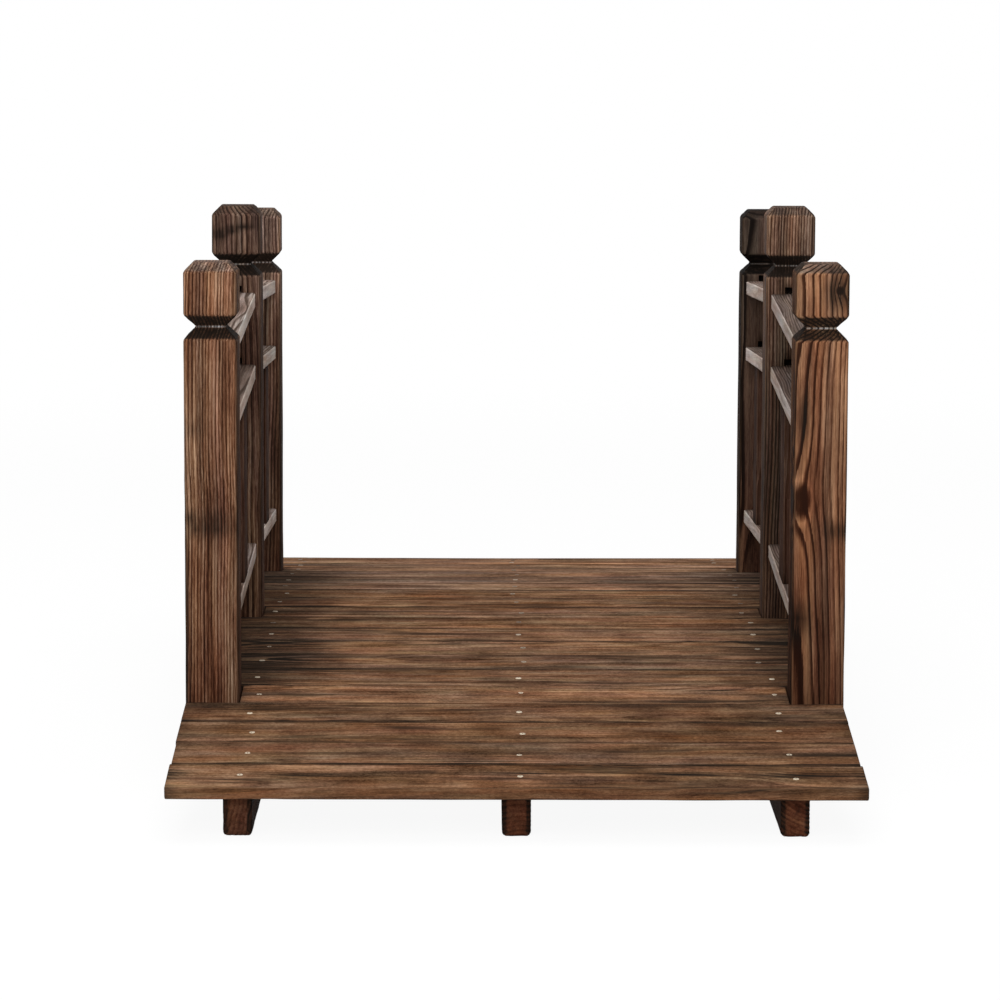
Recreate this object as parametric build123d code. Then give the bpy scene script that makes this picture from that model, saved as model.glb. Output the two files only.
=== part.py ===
import os
from math import asin, cos, degrees, sin

from build123d import *

# Whole bridge, in millimetres; the middle posts give the height.
LENGTH = 1500.0
WIDTH = 670.0
HEIGHT = 560.0

# Deck boards lie across an arched seat, one flat facet for each board.
BOARD_COUNT = 21
BOARD_GAP = 1.8
BOARD_THICK = 13.0
BOARD_EASE = 1.2
DECK_END_HEIGHT = 53.0
DECK_RISE = 48.5

# Three stringers stand on flat feet and are hollowed in an arch between them.
STRINGER_THICK = 28.0
STRINGER_SETBACK = 25.0
STRINGER_EASE = 3.0
FOOT_LENGTH = 160.0
ARCH_RISE = 48.0

# Posts carry a chamfered cap above a V-groove cut round all four sides.
# The middle posts end level with the top of the stringers' arch, the end posts are as long.
POST_SIZE = 54.0
POST_END_DROP = 30.4
POST_EASE = 2.5
POST_BOARD = 5
CAP_CHAMFER = 9.0
CAP_HEIGHT = 52.6
GROOVE_DEPTH = 11.5
GROOVE_NECK = 1.5
SHORT_BOARD_CLEAR = 1.0

# Rails lie flat, centred on the posts, and climb towards the middle post.
# Two hang a drop below the middle post's top, and the low one stands a lift above the deck's crest.
RAIL_WIDTH = 42.0
RAIL_THICK = 17.0
RAIL_EASE = 1.5
RAIL_RISE = 20.0
TOP_RAIL_DROP = 95.8
SECOND_RAIL_DROP = 176.1
LOW_RAIL_LIFT = 81.9

# Each rail end has a stub tenon in a mortise left open above it.
TENON_WIDTH = 11.0
TENON_LENGTH = 12.0
MORTISE_CLEAR = 0.5
MORTISE_RISE = 7.0

# One upright baluster stands between the lower two rails of each bay.
BALUSTER_WIDTH = 56.0
BALUSTER_EASE = 1.5

# Deck arc from its end height, rise and half length.
half_length = (LENGTH + BOARD_GAP) / 2
crest_z = DECK_END_HEIGHT + DECK_RISE
deck_radius = (half_length**2 + DECK_RISE**2) / (2 * DECK_RISE)
centre_z = crest_z - deck_radius
half_angle = asin(half_length / deck_radius)
step_angle = half_angle / BOARD_COUNT
seat_radius = (deck_radius - BOARD_THICK) / cos(step_angle)
facet_radius = deck_radius - BOARD_THICK
board_width = 2 * facet_radius * sin(step_angle) - BOARD_GAP

# Post faces across the walk and along it.
post_outer = WIDTH / 2
post_inner = post_outer - POST_SIZE
post_middle = post_outer - POST_SIZE / 2
post_length = HEIGHT - ARCH_RISE


def joint_angle(number):
    """Angle on the deck arc of the joint after a number of boards."""
    return -half_angle + 2 * half_angle * number / BOARD_COUNT


def board_angle(number):
    """Angle on the deck arc of the middle of one board, counted from 0."""
    return joint_angle(number) + step_angle


front_post_face = seat_radius * sin(joint_angle(POST_BOARD - 1))
post_stations = {
    "front": front_post_face + POST_SIZE / 2,
    "middle": 0.0,
    "rear": -front_post_face - POST_SIZE / 2,
}
post_tops = {"front": HEIGHT - POST_END_DROP, "middle": HEIGHT, "rear": HEIGHT - POST_END_DROP}
sides = {"left": -1, "right": 1}

bay_outer = -post_stations["front"] - POST_SIZE / 2
bay_inner = POST_SIZE / 2
rail_slope = RAIL_RISE / (bay_outer - bay_inner)
rail_tops = {
    "top": HEIGHT - TOP_RAIL_DROP,
    "second": HEIGHT - SECOND_RAIL_DROP,
    "low": crest_z + LOW_RAIL_LIFT,
}


def prism_along_x(points, thick, x_middle):
    """A solid with a side outline of (y, z) points, centred on one x."""
    outline = Polyline(*[(x_middle - thick / 2, y, z) for y, z in points], close=True)
    return extrude(make_face(outline), amount=thick, dir=(1, 0, 0))


def deck_board(number):
    """One flat board, tangent to the deck arc, shorter where it meets posts."""
    angle = board_angle(number)
    y_middle = facet_radius * sin(angle)
    z_seat = centre_z + facet_radius * cos(angle)
    reach = (board_width / 2) * cos(angle)
    y_first = y_middle - reach + min(0, BOARD_THICK * sin(angle))
    y_last = y_middle + reach + max(0, BOARD_THICK * sin(angle))
    meets_post = any(y_first < y + POST_SIZE / 2 and y_last > y - POST_SIZE / 2
                     for y in post_stations.values())
    length = 2 * (post_inner - SHORT_BOARD_CLEAR) if meets_post else WIDTH
    board = Pos(0, 0, BOARD_THICK / 2) * Box(length, board_width, BOARD_THICK)
    board = chamfer(board.faces().sort_by(Axis.Z)[-1].edges(), BOARD_EASE)
    return Pos(0, y_middle, z_seat) * Rot(-degrees(angle), 0, 0) * board


def stringer(x_middle):
    """A curved beam: one facet per board above, feet and an arch below."""
    end_y = half_length - BOARD_GAP / 2 - STRINGER_SETBACK
    arch_half = end_y - FOOT_LENGTH
    seats = [(seat_radius * sin(joint_angle(n)), centre_z + seat_radius * cos(joint_angle(n)))
             for n in range(BOARD_COUNT + 1)]
    inner = [point for point in seats if abs(point[0]) < end_y]
    end_slope = (seats[1][1] - seats[0][1]) / (seats[1][0] - seats[0][0])
    end_z = seats[0][1] + end_slope * (-end_y - seats[0][0])
    top = [(-end_y, end_z), *inner, (end_y, end_z)]
    at = x_middle - STRINGER_THICK / 2
    top_line = Polyline(*[(at, y, z) for y, z in top])
    arch = ThreePointArc((at, arch_half, 0), (at, 0, ARCH_RISE), (at, -arch_half, 0))
    rear = Polyline((at, end_y, end_z), (at, end_y, STRINGER_EASE), (at, end_y - STRINGER_EASE, 0),
                    (at, arch_half, 0))
    front = Polyline((at, -arch_half, 0), (at, STRINGER_EASE - end_y, 0), (at, -end_y, STRINGER_EASE),
                     (at, -end_y, end_z))
    outline = make_face(Wire([*top_line.edges(), *rear.edges(), *arch.edges(), *front.edges()]))
    return extrude(outline, amount=STRINGER_THICK, dir=(1, 0, 0))


def post_blank(top_z):
    """A square post with its cap chamfered and grooved on all four sides."""
    half = POST_SIZE / 2
    bottom_z = top_z - post_length
    groove_top = top_z - CAP_HEIGHT
    neck_top = groove_top - GROOVE_DEPTH
    neck_bottom = neck_top - GROOVE_NECK
    groove_bottom = neck_bottom - GROOVE_DEPTH
    edge = [(half, bottom_z), (half, groove_bottom), (half - GROOVE_DEPTH, neck_bottom),
            (half - GROOVE_DEPTH, neck_top), (half, groove_top), (half, top_z - CAP_CHAMFER),
            (half - CAP_CHAMFER, top_z)]
    outline = edge + [(-across, z) for across, z in reversed(edge)]
    along = prism_along_x(outline, POST_SIZE, 0)
    across = Rot(0, 0, 90) * prism_along_x(outline, POST_SIZE, 0)
    body = Pos(0, 0, bottom_z) * extrude(RectangleRounded(POST_SIZE, POST_SIZE, POST_EASE), post_length)
    return body & along & across


def rail_top_at(name, y):
    """Height of one rail's upper face at a station along the bridge."""
    return rail_tops[name] - rail_slope * (abs(y) - bay_inner)


def mortise(name, toward, face_y, x_middle):
    """The slot that takes one rail's tenon, open above the rail."""
    depth = TENON_LENGTH + MORTISE_CLEAR
    tip_y = face_y - toward * TENON_LENGTH
    seat_z = min(rail_top_at(name, face_y), rail_top_at(name, tip_y)) - RAIL_THICK
    head_z = max(rail_top_at(name, face_y), rail_top_at(name, tip_y)) + MORTISE_RISE
    width = TENON_WIDTH + 2 * MORTISE_CLEAR
    slot = Box(width, depth, head_z - seat_z)
    return Pos(x_middle, face_y - toward * depth / 2, (seat_z + head_z) / 2) * slot


def post(side, place):
    """One post with the mortises its rails need."""
    x_middle = side * post_middle
    y_middle = post_stations[place]
    solid = Pos(x_middle, y_middle, 0) * post_blank(post_tops[place])
    towards = {"front": (1,), "middle": (-1, 1), "rear": (-1,)}[place]
    for toward in towards:
        for name in rail_tops:
            solid -= mortise(name, toward, y_middle + toward * POST_SIZE / 2, x_middle)
    return solid


def rail(name, side, end):
    """One sloping rail between an end post and the middle post, with tenons."""
    x_middle = side * post_middle
    y_low = end * bay_outer
    y_high = end * bay_inner
    tip_low = y_low + end * TENON_LENGTH
    tip_high = y_high - end * TENON_LENGTH

    def outline(y_a, y_b):
        z_a = rail_tops[name] - rail_slope * (end * y_a - bay_inner)
        z_b = rail_tops[name] - rail_slope * (end * y_b - bay_inner)
        return [(y_a, z_a), (y_b, z_b), (y_b, z_b - RAIL_THICK), (y_a, z_a - RAIL_THICK)]

    body = prism_along_x(outline(y_low, y_high), RAIL_WIDTH, x_middle)
    long_edges = [edge for edge in body.edges() if abs(edge.tangent_at(0).Y) > abs(edge.tangent_at(0).Z)
                  and abs(edge.tangent_at(0).Y) > abs(edge.tangent_at(0).X)]
    body = chamfer(long_edges, RAIL_EASE)
    return body + prism_along_x(outline(tip_low, tip_high), TENON_WIDTH, x_middle)


def baluster(side, end):
    """One upright between the second and the low rail, cut to their slope."""
    y_middle = end * (bay_outer + bay_inner) / 2
    y_a = y_middle - BALUSTER_WIDTH / 2
    y_b = y_middle + BALUSTER_WIDTH / 2
    foot_a = rail_top_at("low", y_a)
    foot_b = rail_top_at("low", y_b)
    head_a = rail_top_at("second", y_a) - RAIL_THICK
    head_b = rail_top_at("second", y_b) - RAIL_THICK
    outline = [(y_a, foot_a), (y_b, foot_b), (y_b, head_b), (y_a, head_a)]
    solid = prism_along_x(outline, RAIL_WIDTH, side * post_middle)
    return chamfer(solid.edges().filter_by(Axis.Z), BALUSTER_EASE)


pieces = {}
for number in range(BOARD_COUNT):
    pieces[f"deck_board_{number + 1:02d}"] = deck_board(number)
stringer_offset = post_inner - STRINGER_THICK / 2
pieces["stringer_left"] = stringer(-stringer_offset)
pieces["stringer_centre"] = stringer(0)
pieces["stringer_right"] = stringer(stringer_offset)
ends = {"front": -1, "rear": 1}
for side_name, side in sides.items():
    for place in post_stations:
        pieces[f"post_{side_name}_{place}"] = post(side, place)
    for end_name, end in ends.items():
        for rail_name in rail_tops:
            pieces[f"rail_{rail_name}_{side_name}_{end_name}"] = rail(rail_name, side, end)
    pieces[f"balusters_{side_name}"] = Compound([baluster(side, end) for end in ends.values()])

os.makedirs("parts", exist_ok=True)
for name, solid in pieces.items():
    export_step(solid, f"parts/{name}.step")
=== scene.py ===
"""Arched garden footbridge in burnt and brushed fir, dressed piece by piece over its CAD solids."""

import math
from dataclasses import dataclass
from itertools import product

import bmesh
import bpy
import numpy as np
from mathutils import Matrix, Vector


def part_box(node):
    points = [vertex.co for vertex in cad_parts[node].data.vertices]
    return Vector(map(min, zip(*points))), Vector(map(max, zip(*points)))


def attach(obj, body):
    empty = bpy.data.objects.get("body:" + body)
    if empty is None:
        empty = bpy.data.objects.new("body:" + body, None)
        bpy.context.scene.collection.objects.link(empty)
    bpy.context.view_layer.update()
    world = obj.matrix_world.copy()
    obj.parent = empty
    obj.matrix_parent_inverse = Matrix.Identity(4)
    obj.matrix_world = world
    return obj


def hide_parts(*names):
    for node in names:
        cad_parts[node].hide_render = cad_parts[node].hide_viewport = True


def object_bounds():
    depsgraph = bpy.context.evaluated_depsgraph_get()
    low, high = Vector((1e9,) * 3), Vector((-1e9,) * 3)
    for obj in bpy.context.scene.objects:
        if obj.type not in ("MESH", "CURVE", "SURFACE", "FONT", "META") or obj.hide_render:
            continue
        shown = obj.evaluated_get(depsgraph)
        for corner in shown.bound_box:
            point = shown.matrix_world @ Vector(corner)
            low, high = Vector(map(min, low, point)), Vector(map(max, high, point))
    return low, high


bl_info = {
    "name": "Garden Footbridge",
    "version": (1, 0, 0),
    "blender": (4, 5, 0),
    "location": "3D View > Sidebar > Footbridge",
    "description": "Builds the timbers, screws and studio stage of an arched garden footbridge",
    "category": "Object",
}

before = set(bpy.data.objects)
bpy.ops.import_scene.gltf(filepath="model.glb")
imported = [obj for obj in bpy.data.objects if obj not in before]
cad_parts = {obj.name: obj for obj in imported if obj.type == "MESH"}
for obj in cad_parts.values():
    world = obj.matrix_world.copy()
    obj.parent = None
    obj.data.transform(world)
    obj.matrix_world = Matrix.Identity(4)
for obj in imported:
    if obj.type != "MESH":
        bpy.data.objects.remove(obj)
CAD_BOX = [list(corner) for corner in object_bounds()]
BODY = "root"
# Where each kind of timber starts along the grain's noise, in metres, and how far apart its pieces are.
GRAIN_STARTS = {"deck": 0.0, "posts": 100.0, "rails": 200.0, "balusters": 250.0, "stringers": 300.0}
GRAIN_APART = 5.0


def from_screen(red, green, blue):
    """A colour read off a screen, 0 to 255, as the linear colour a shader takes."""
    shares = [part / 255 for part in (red, green, blue)]
    return tuple(s / 12.92 if s <= 0.04045 else ((s + 0.055) / 1.055) ** 2.4 for s in shares)


def length_prop(name, description, default):
    """A length in metres that shows with its unit."""
    return bpy.props.FloatProperty(name=name, description=description, default=default, unit="LENGTH",
                                   precision=5)


def angle_prop(name, description, default):
    """An angle in radians that shows in degrees."""
    return bpy.props.FloatProperty(name=name, description=description, default=default, subtype="ANGLE")


def power_prop(name, description, default):
    """The power of a lamp in watts."""
    return bpy.props.FloatProperty(name=name, description=description, default=default, min=0.0,
                                   subtype="POWER")


def factor_prop(name, description, default, top=1.0):
    """A plain share or strength."""
    return bpy.props.FloatProperty(name=name, description=description, default=default, min=0.0, max=top,
                                   subtype="FACTOR")


def colour_prop(name, description, red, green, blue):
    """A colour with a picker."""
    return bpy.props.FloatVectorProperty(name=name, description=description, subtype="COLOR", size=3,
                                         min=0.0, max=1.0, default=from_screen(red, green, blue))


class FootbridgeJoinery(bpy.types.PropertyGroup):
    """Sizes of the joinery that the solids' boxes don't give."""

    cap_height: length_prop("Cap height", "From the post's top down to its groove", 0.0526)
    cap_chamfer: length_prop("Cap chamfer", "Slope cut round the top of a post", 0.009)
    groove_depth: length_prop("Groove depth", "How deep the V-groove goes into a post", 0.0115)
    groove_neck: length_prop("Groove neck", "Flat at the bottom of the V-groove", 0.0015)
    post_round: length_prop("Post edge", "Round of a post's long edges", 0.0025)
    rail_thick: length_prop("Rail thickness", "Height of a rail lying flat", 0.017)
    tenon_width: length_prop("Tenon width", "Width of the stub tenon on a rail", 0.011)
    tenon_length: length_prop("Tenon length", "How far a tenon goes into the post", 0.012)
    mortise_clear: length_prop("Mortise play", "Room round a tenon", 0.0005)
    mortise_rise: length_prop("Mortise rise", "Open slot left above a rail", 0.007)
    foot_length: length_prop("Foot length", "Flat foot at each end of a stringer", 0.160)
    arch_rise: length_prop("Arch rise", "Height of the hollow under a stringer", 0.048)
    board_round: length_prop("Board edge", "Round of a board's long edges", 0.0014)
    stick_round: length_prop("Rail edge", "Round of a rail's or baluster's long edges", 0.0016)
    stringer_round: length_prop("Stringer edge", "Round of a stringer's edges", 0.0036)
    end_round: length_prop("End edge", "Round of a sawn end", 0.0012)
    uneven_end: length_prop("Uneven end", "How much shorter one board may be cut than the next", 0.002)
    screw_head: length_prop("Screw head", "Diameter of a deck screw's head", 0.0062)
    screw_dome: length_prop("Screw dome", "How far a screw's head stands proud", 0.00045)
    nail_head: length_prop("Nail head", "Diameter of the nail head in an end post", 0.0042)
    screw_row: length_prop("Screw row", "Outer rows of screws from the bridge's middle line", 0.264)


class FootbridgeTimber(bpy.types.PropertyGroup):
    """How the wood was burnt and brushed, and its colours."""

    brush_depth: length_prop("Brush depth", "How deep the soft wood is brushed out between rings", 0.0004)
    row_step: length_prop("Row step", "Spacing of the mesh along the fibre", 0.0125)
    column_step: length_prop("Column step", "Spacing of the mesh across the fibre", 0.0013)
    straw: colour_prop("Straw", "Soft wood where the burn was brushed off", 167, 134, 108)
    tan: colour_prop("Tan", "Soft wood between the light streaks", 113, 79, 57)
    umber: colour_prop("Umber", "Hard dark rings", 56, 31, 18)
    soot: colour_prop("Soot", "Burnt grooves, ends and streaks", 24, 18, 14)
    deck_light: colour_prop("Deck light", "Light streaks of the deck", 153, 119, 91)
    deck_brown: colour_prop("Deck brown", "Body colour of the deck", 109, 79, 58)
    deck_dark: colour_prop("Deck dark", "Rings of the deck", 60, 41, 28)
    deck_soot: colour_prop("Deck soot", "Sooty streaks of the deck", 50, 38, 29)
    sawn_light: colour_prop("Sawn light", "Pale grey fibres of the rails", 206, 196, 188)
    sawn_grey: colour_prop("Sawn grey", "Body colour of the rails", 170, 156, 147)
    sawn_dark: colour_prop("Sawn dark", "Rings of the rails", 122, 104, 92)


class FootbridgeStage(bpy.types.PropertyGroup):
    """Camera, lamps and floor."""

    lens: bpy.props.FloatProperty(name="Lens", description="Focal length on a 36 mm sensor",
                                  default=147.09, unit="CAMERA")
    camera_place: bpy.props.FloatVectorProperty(name="Camera place", description="Where the camera stands",
                                                default=(-0.03135, -4.55976, 0.83487),
                                                subtype="TRANSLATION")
    camera_down: angle_prop("Camera down", "Tilt below level", 0.1321)
    camera_right: angle_prop("Camera right", "Turn to the right", 0.0038)
    camera_roll: angle_prop("Camera roll", "Lean of the camera", -0.0033)
    room_light: factor_prop("Room light", "Even light from all round", 0.33, 4.0)
    front_lamp: power_prop("Front lamp", "Soft lamp behind the camera", 185.0)
    top_lamp: power_prop("Top lamp", "Soft lamp overhead", 85.0)
    floor_white: factor_prop("Floor white", "How pale the floor is", 0.93)


class Value:
    """A number socket of a finish, which takes Python's own operators."""

    def __init__(self, finish, socket):
        self.finish = finish
        self.socket = socket

    def __add__(self, other):
        return self.finish.math("ADD", self, other)

    __radd__ = __add__

    def __sub__(self, other):
        return self.finish.math("SUBTRACT", self, other)

    def __rsub__(self, other):
        return self.finish.math("SUBTRACT", other, self)

    def __mul__(self, other):
        return self.finish.math("MULTIPLY", self, other)

    __rmul__ = __mul__


class Finish:
    """One material or world and the nodes it is mixed from."""

    def __init__(self, holder):
        holder.use_nodes = True
        self.tree = holder.node_tree
        self.tree.nodes.clear()

    def add(self, kind, settings=None, sockets=None, out=0):
        """Adds a node: its settings first, then values or links on its sockets; gives one output."""
        node = self.tree.nodes.new(kind)
        for name, value in (settings or {}).items():
            if name == "stops":
                self.set_stops(node.color_ramp, value)
            else:
                setattr(node, name, value)
        for name, value in (sockets or {}).items():
            self.feed(self.find(node.inputs, name), value)
        return Value(self, self.find(node.outputs, out)) if node.outputs else None

    @staticmethod
    def find(sockets, name):
        """A socket by its place, its identifier or its name."""
        if isinstance(name, int):
            return sockets[name]
        for socket in sockets:
            if name == socket.identifier:
                return socket
        return sockets[name]

    @staticmethod
    def set_stops(ramp, stops):
        """Gives a colour ramp its stops."""
        while len(ramp.elements) < len(stops):
            ramp.elements.new(1.0)
        for element, (position, colour) in zip(ramp.elements, stops):
            element.position = position
            element.color = (*colour, 1.0)

    def feed(self, socket, value):
        """Links a value to a socket, or sets a plain one on it."""
        if isinstance(value, Value):
            self.tree.links.new(value.socket, socket)
        elif socket.type == "RGBA" and len(value) == 3:
            socket.default_value = (*value, 1.0)
        else:
            socket.default_value = value

    def math(self, operation, *terms):
        """One Math node."""
        return self.add("ShaderNodeMath", {"operation": operation}, dict(enumerate(terms)))

    def step(self, value, low, high):
        """0 below low, 1 above high, smooth in between."""
        return self.add("ShaderNodeMapRange", {"interpolation_type": "SMOOTHSTEP"},
                        {"Value": value, "From Min": low, "From Max": high})

    def clip(self, value):
        """A value kept from 0 to 1."""
        return self.add("ShaderNodeMath", {"operation": "ADD", "use_clamp": True}, {0: value, 1: 0.0})

    def blend(self, share, first, second, mode="MIX"):
        """Two colours mixed by a share."""
        return self.add("ShaderNodeMix", {"data_type": "RGBA", "blend_type": mode, "clamp_factor": True},
                        {"Factor_Float": share, "A_Color": first, "B_Color": second}, "Result_Color")

    def attribute(self, name, out="Fac"):
        """A value kept on the mesh."""
        return self.add("ShaderNodeAttribute", {"attribute_name": name}, out=out)

    def parts(self, vector):
        """The three numbers of a vector."""
        node = self.add("ShaderNodeSeparateXYZ", sockets={"Vector": vector}).socket.node
        return [Value(self, socket) for socket in node.outputs]

    def vector(self, x, y, z):
        """A vector from three numbers."""
        return self.add("ShaderNodeCombineXYZ", sockets={"X": x, "Y": y, "Z": z})

    def noise(self, vector, detail, roughness=0.5, scale=1.0):
        """Soft noise, about 0 to 1."""
        return self.add("ShaderNodeTexNoise", {"noise_dimensions": "3D"},
                        {"Vector": vector, "Scale": scale, "Detail": detail, "Roughness": roughness}, "Fac")

    def looked_at(self):
        """1 for the rays by which a background is seen: straight, mirrored or through glass."""
        path = self.add("ShaderNodeLightPath", out="Is Camera Ray")
        seen = path
        for ray in ("Is Glossy Ray", "Is Transmission Ray"):
            seen = self.math("MAXIMUM", seen, Value(self, path.socket.node.outputs[ray]))
        return seen

    def surface(self, colour, roughness, height, bump, reach, specular, metallic=0.0):
        """The finished surface of a material, with its height as bump."""
        normal = self.add("ShaderNodeBump",
                          sockets={"Strength": bump, "Distance": reach, "Height": height})
        shader = self.add("ShaderNodeBsdfPrincipled", sockets={
            "Base Color": colour, "Roughness": roughness, "Metallic": metallic, "Normal": normal,
            "Specular IOR Level": specular})
        self.add("ShaderNodeOutputMaterial", sockets={"Surface": shader})


@dataclass
class Wood:
    """How a timber was cut from its tree and burnt, in metres.

    The pith is the tree's middle, seen from the timber's own middle, and it leans and wanders along
    the timber. The tint and the fade are (lift, red, grey) at the first end and the last. A knot is
    (station, turn, size), and a scorch is (station, two places across, length, breadth, strength),
    a pale patch where its strength is below 0. The long scorches all round the middle and rear posts
    are painted shade on their lower shafts, and the inner burn is partly painted shade.
    """

    seed: int
    pith: tuple = (0.0, -0.05)
    lean: tuple = (0.0, 0.0)
    wander: float = 0.002
    ring: float = 0.004
    tint: tuple = (1.0, 0.0, 0.0)
    fade: tuple = (1.0, 0.0, 0.0)
    knots: tuple = ()
    scorches: tuple = ()
    figured: bool = False
    cap_burn: float = 0.5
    # Char on a post's face toward the walkway, partly painted shade.
    inner_burn_and_shade: float = 0.48


# Odd numbers that scatter the corners of the noise's cells.
SCATTER_AXES = np.array((73856093, 19349663, 83492791))
SCATTER_SEED = 2654435
SCATTER_FIRST = 1274126177
SCATTER_SECOND = 668265263
SCATTER_KEEP = 0x7FFFFFFF
SCATTER_TOP = 0xFFFF


def soft_noise(points, seed):
    """Smooth noise from 0 to 1 at an array of points, one unit to a cell."""
    cell = np.floor(points).astype(np.int64)
    share = points - cell
    share = share * share * (3 - 2 * share)
    total = np.zeros(len(points))
    for corner in product((0, 1), repeat=3):
        spun = (cell + np.array(corner)) * SCATTER_AXES
        mixed = spun[:, 0] ^ spun[:, 1] ^ spun[:, 2] ^ (seed * SCATTER_SEED)
        mixed = ((mixed ^ (mixed >> 13)) * SCATTER_FIRST) & SCATTER_KEEP
        mixed = ((mixed ^ (mixed >> 11)) * SCATTER_SECOND) & SCATTER_KEEP
        weight = np.prod(np.where(np.array(corner) == 1, share, 1 - share), axis=1)
        total += weight * ((mixed >> 8) & SCATTER_TOP) / SCATTER_TOP
    return total


def smooth_step(value, low, high):
    """0 below low, 1 above high, smooth in between."""
    share = np.clip((value - low) / (high - low), 0, 1)
    return share * share * (3 - 2 * share)


# How squarely a point has to look out to start counting as part of a face, and to count in full.
FACE_START = 0.6
FACE_FULL = 0.95


def facing(out):
    """1 on the face that looks one way, 0 on the others, soft over the rounded edge."""
    return smooth_step(out, FACE_START, FACE_FULL)


def hump(gap, reach):
    """1 in the middle of a soft spot, falling away over its reach."""
    return np.exp(-(gap / reach) ** 2)


def wave(length, seed, period):
    """A slow wander along a timber, about -1 to 1."""
    chance = np.random.default_rng(seed)
    total = np.zeros_like(length)
    peak = 0.0
    for octave in range(3):
        turn = chance.uniform(0, 2 * math.pi)
        total += np.sin(2 * math.pi * length * (2 ** octave) / period + turn) / (2 ** octave)
        peak += 1 / 2 ** octave
    return total / peak


class Stick:
    """A length of timber as rows of points round its section, with its wood worked out at each point."""

    CORNER_SHARE = 1 - math.tan(math.pi / 8)
    WANDER_PERIODS = (0.61, 0.47)
    # Cells of the noises, to a metre along the grain and to a ring across it.
    SWIRL_CELLS = (6.0, 0.3)
    FIBRE_CELLS = (40.0, 2.0)
    WEAR_CELLS = 55.0
    SWIRL = 1.1
    # A knot's shape, in its own sizes: how drawn out it is along the grain, the rings in which it
    # takes root, where it fades, the pale collar round it, and how far the rings bulge for it.
    KNOT_STRETCH = 1.8
    KNOT_ROOT = (0.0, 2.0)
    KNOT_FADE = (0.45, 1.15)
    COLLAR_AT = 1.25
    COLLAR_BREADTH = 0.2
    COLLAR_GLEAM = 0.45
    BULGE_BESIDE = 2.0
    BULGE_ALONG = 4.5
    # The hard late wood, as shares of a ring: where it comes in and where it stops.
    LATE_START = (0.3, 0.8)
    LATE_STOP = (0.9, 1.0)
    KNOT_STANDS = 0.8
    EDGE_WEAR = 2.0
    EDGE_SHARP = 2.2

    def __init__(self, rows, half_a, half_b, radius, inner_a, inner_b):
        count = len(rows)
        rows = np.asarray(rows, float)
        half_a = np.broadcast_to(np.asarray(half_a, float), (count,))
        half_b = np.broadcast_to(np.asarray(half_b, float), (count,))
        radius = np.broadcast_to(np.asarray(radius, float), (count,))
        across_a = self.spread(half_a, radius, inner_a)
        across_b = self.spread(half_b, radius, inner_b)
        self.count = count
        self.wide = across_a.shape[1]
        self.deep = across_b.shape[1]
        last_a, last_b = self.wide - 1, self.deep - 1
        self.ring_index = [(i, 0) for i in range(last_a)]
        self.ring_index += [(last_a, j) for j in range(last_b)]
        self.ring_index += [(i, last_b) for i in range(last_a, 0, -1)]
        self.ring_index += [(0, j) for j in range(last_b, 0, -1)]
        self.around = len(self.ring_index)
        self.inside_index = [(i, j) for j in range(1, last_b) for i in range(1, last_a)]
        picks = [(row, i, j) for row in range(count) for i, j in self.ring_index]
        picks += [(row, i, j) for row in (0, count - 1) for i, j in self.inside_index]
        row, i, j = np.array(picks).T
        a, b = across_a[row, i], across_b[row, j]
        core_a, core_b = half_a[row] - radius[row], half_b[row] - radius[row]
        over_a, over_b = np.maximum(np.abs(a) - core_a, 0), np.maximum(np.abs(b) - core_b, 0)
        size = np.maximum(np.hypot(over_a, over_b), 1e-12)
        shrink = np.where(size > 1e-11, np.maximum(over_a, over_b) / size, 1)
        self.a = np.sign(a) * (np.minimum(np.abs(a), core_a) + over_a * shrink)
        self.b = np.sign(b) * (np.minimum(np.abs(b), core_b) + over_b * shrink)
        self.along = rows[row]
        ringed = count * self.around
        is_end = np.arange(len(self.along)) >= ringed
        self.out_a = np.where(is_end, 0, np.sign(a) * over_a / size)
        self.out_b = np.where(is_end, 0, np.sign(b) * over_b / size)
        self.out_along = np.where(is_end, np.where(row == 0, -1.0, 1.0), 0.0)
        both = np.minimum(over_a, over_b) / np.maximum(radius[row], 1e-9)
        self.edge = np.where(is_end, 0.0, np.clip(self.EDGE_SHARP * both, 0, 1))
        self.faces = self.make_faces(ringed)

    @classmethod
    def spread(cls, half, radius, inner):
        """Places across the section, with two more on the round of each edge."""
        core = (half - radius)[:, None] * np.asarray(inner)[None, :]
        turn = (half - radius * cls.CORNER_SHARE)[:, None]
        edge = half[:, None]
        return np.hstack([-edge, -turn, core, turn, edge])

    def make_faces(self, ringed):
        """Quads round the sides and over both ends."""
        place = {}
        for k, (i, j) in enumerate(self.ring_index):
            place[(0, i, j)] = k
            place[(1, i, j)] = (self.count - 1) * self.around + k
        inside = len(self.inside_index)
        for k, (i, j) in enumerate(self.inside_index):
            place[(0, i, j)] = ringed + k
            place[(1, i, j)] = ringed + inside + k
        here = np.arange(self.around)
        after = (here + 1) % self.around
        base = (np.arange(self.count - 1) * self.around)[:, None]
        above = base + self.around
        sides = np.stack([base + here, base + after, above + after, above + here], axis=-1)
        ends = []
        for i in range(self.wide - 1):
            for j in range(self.deep - 1):
                loop = [(i, j), (i + 1, j), (i + 1, j + 1), (i, j + 1)]
                ends.append([place[(1, *corner)] for corner in loop])
                ends.append([place[(0, *corner)] for corner in reversed(loop)])
        return np.vstack([sides.reshape(-1, 4), np.array(ends)])

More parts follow.
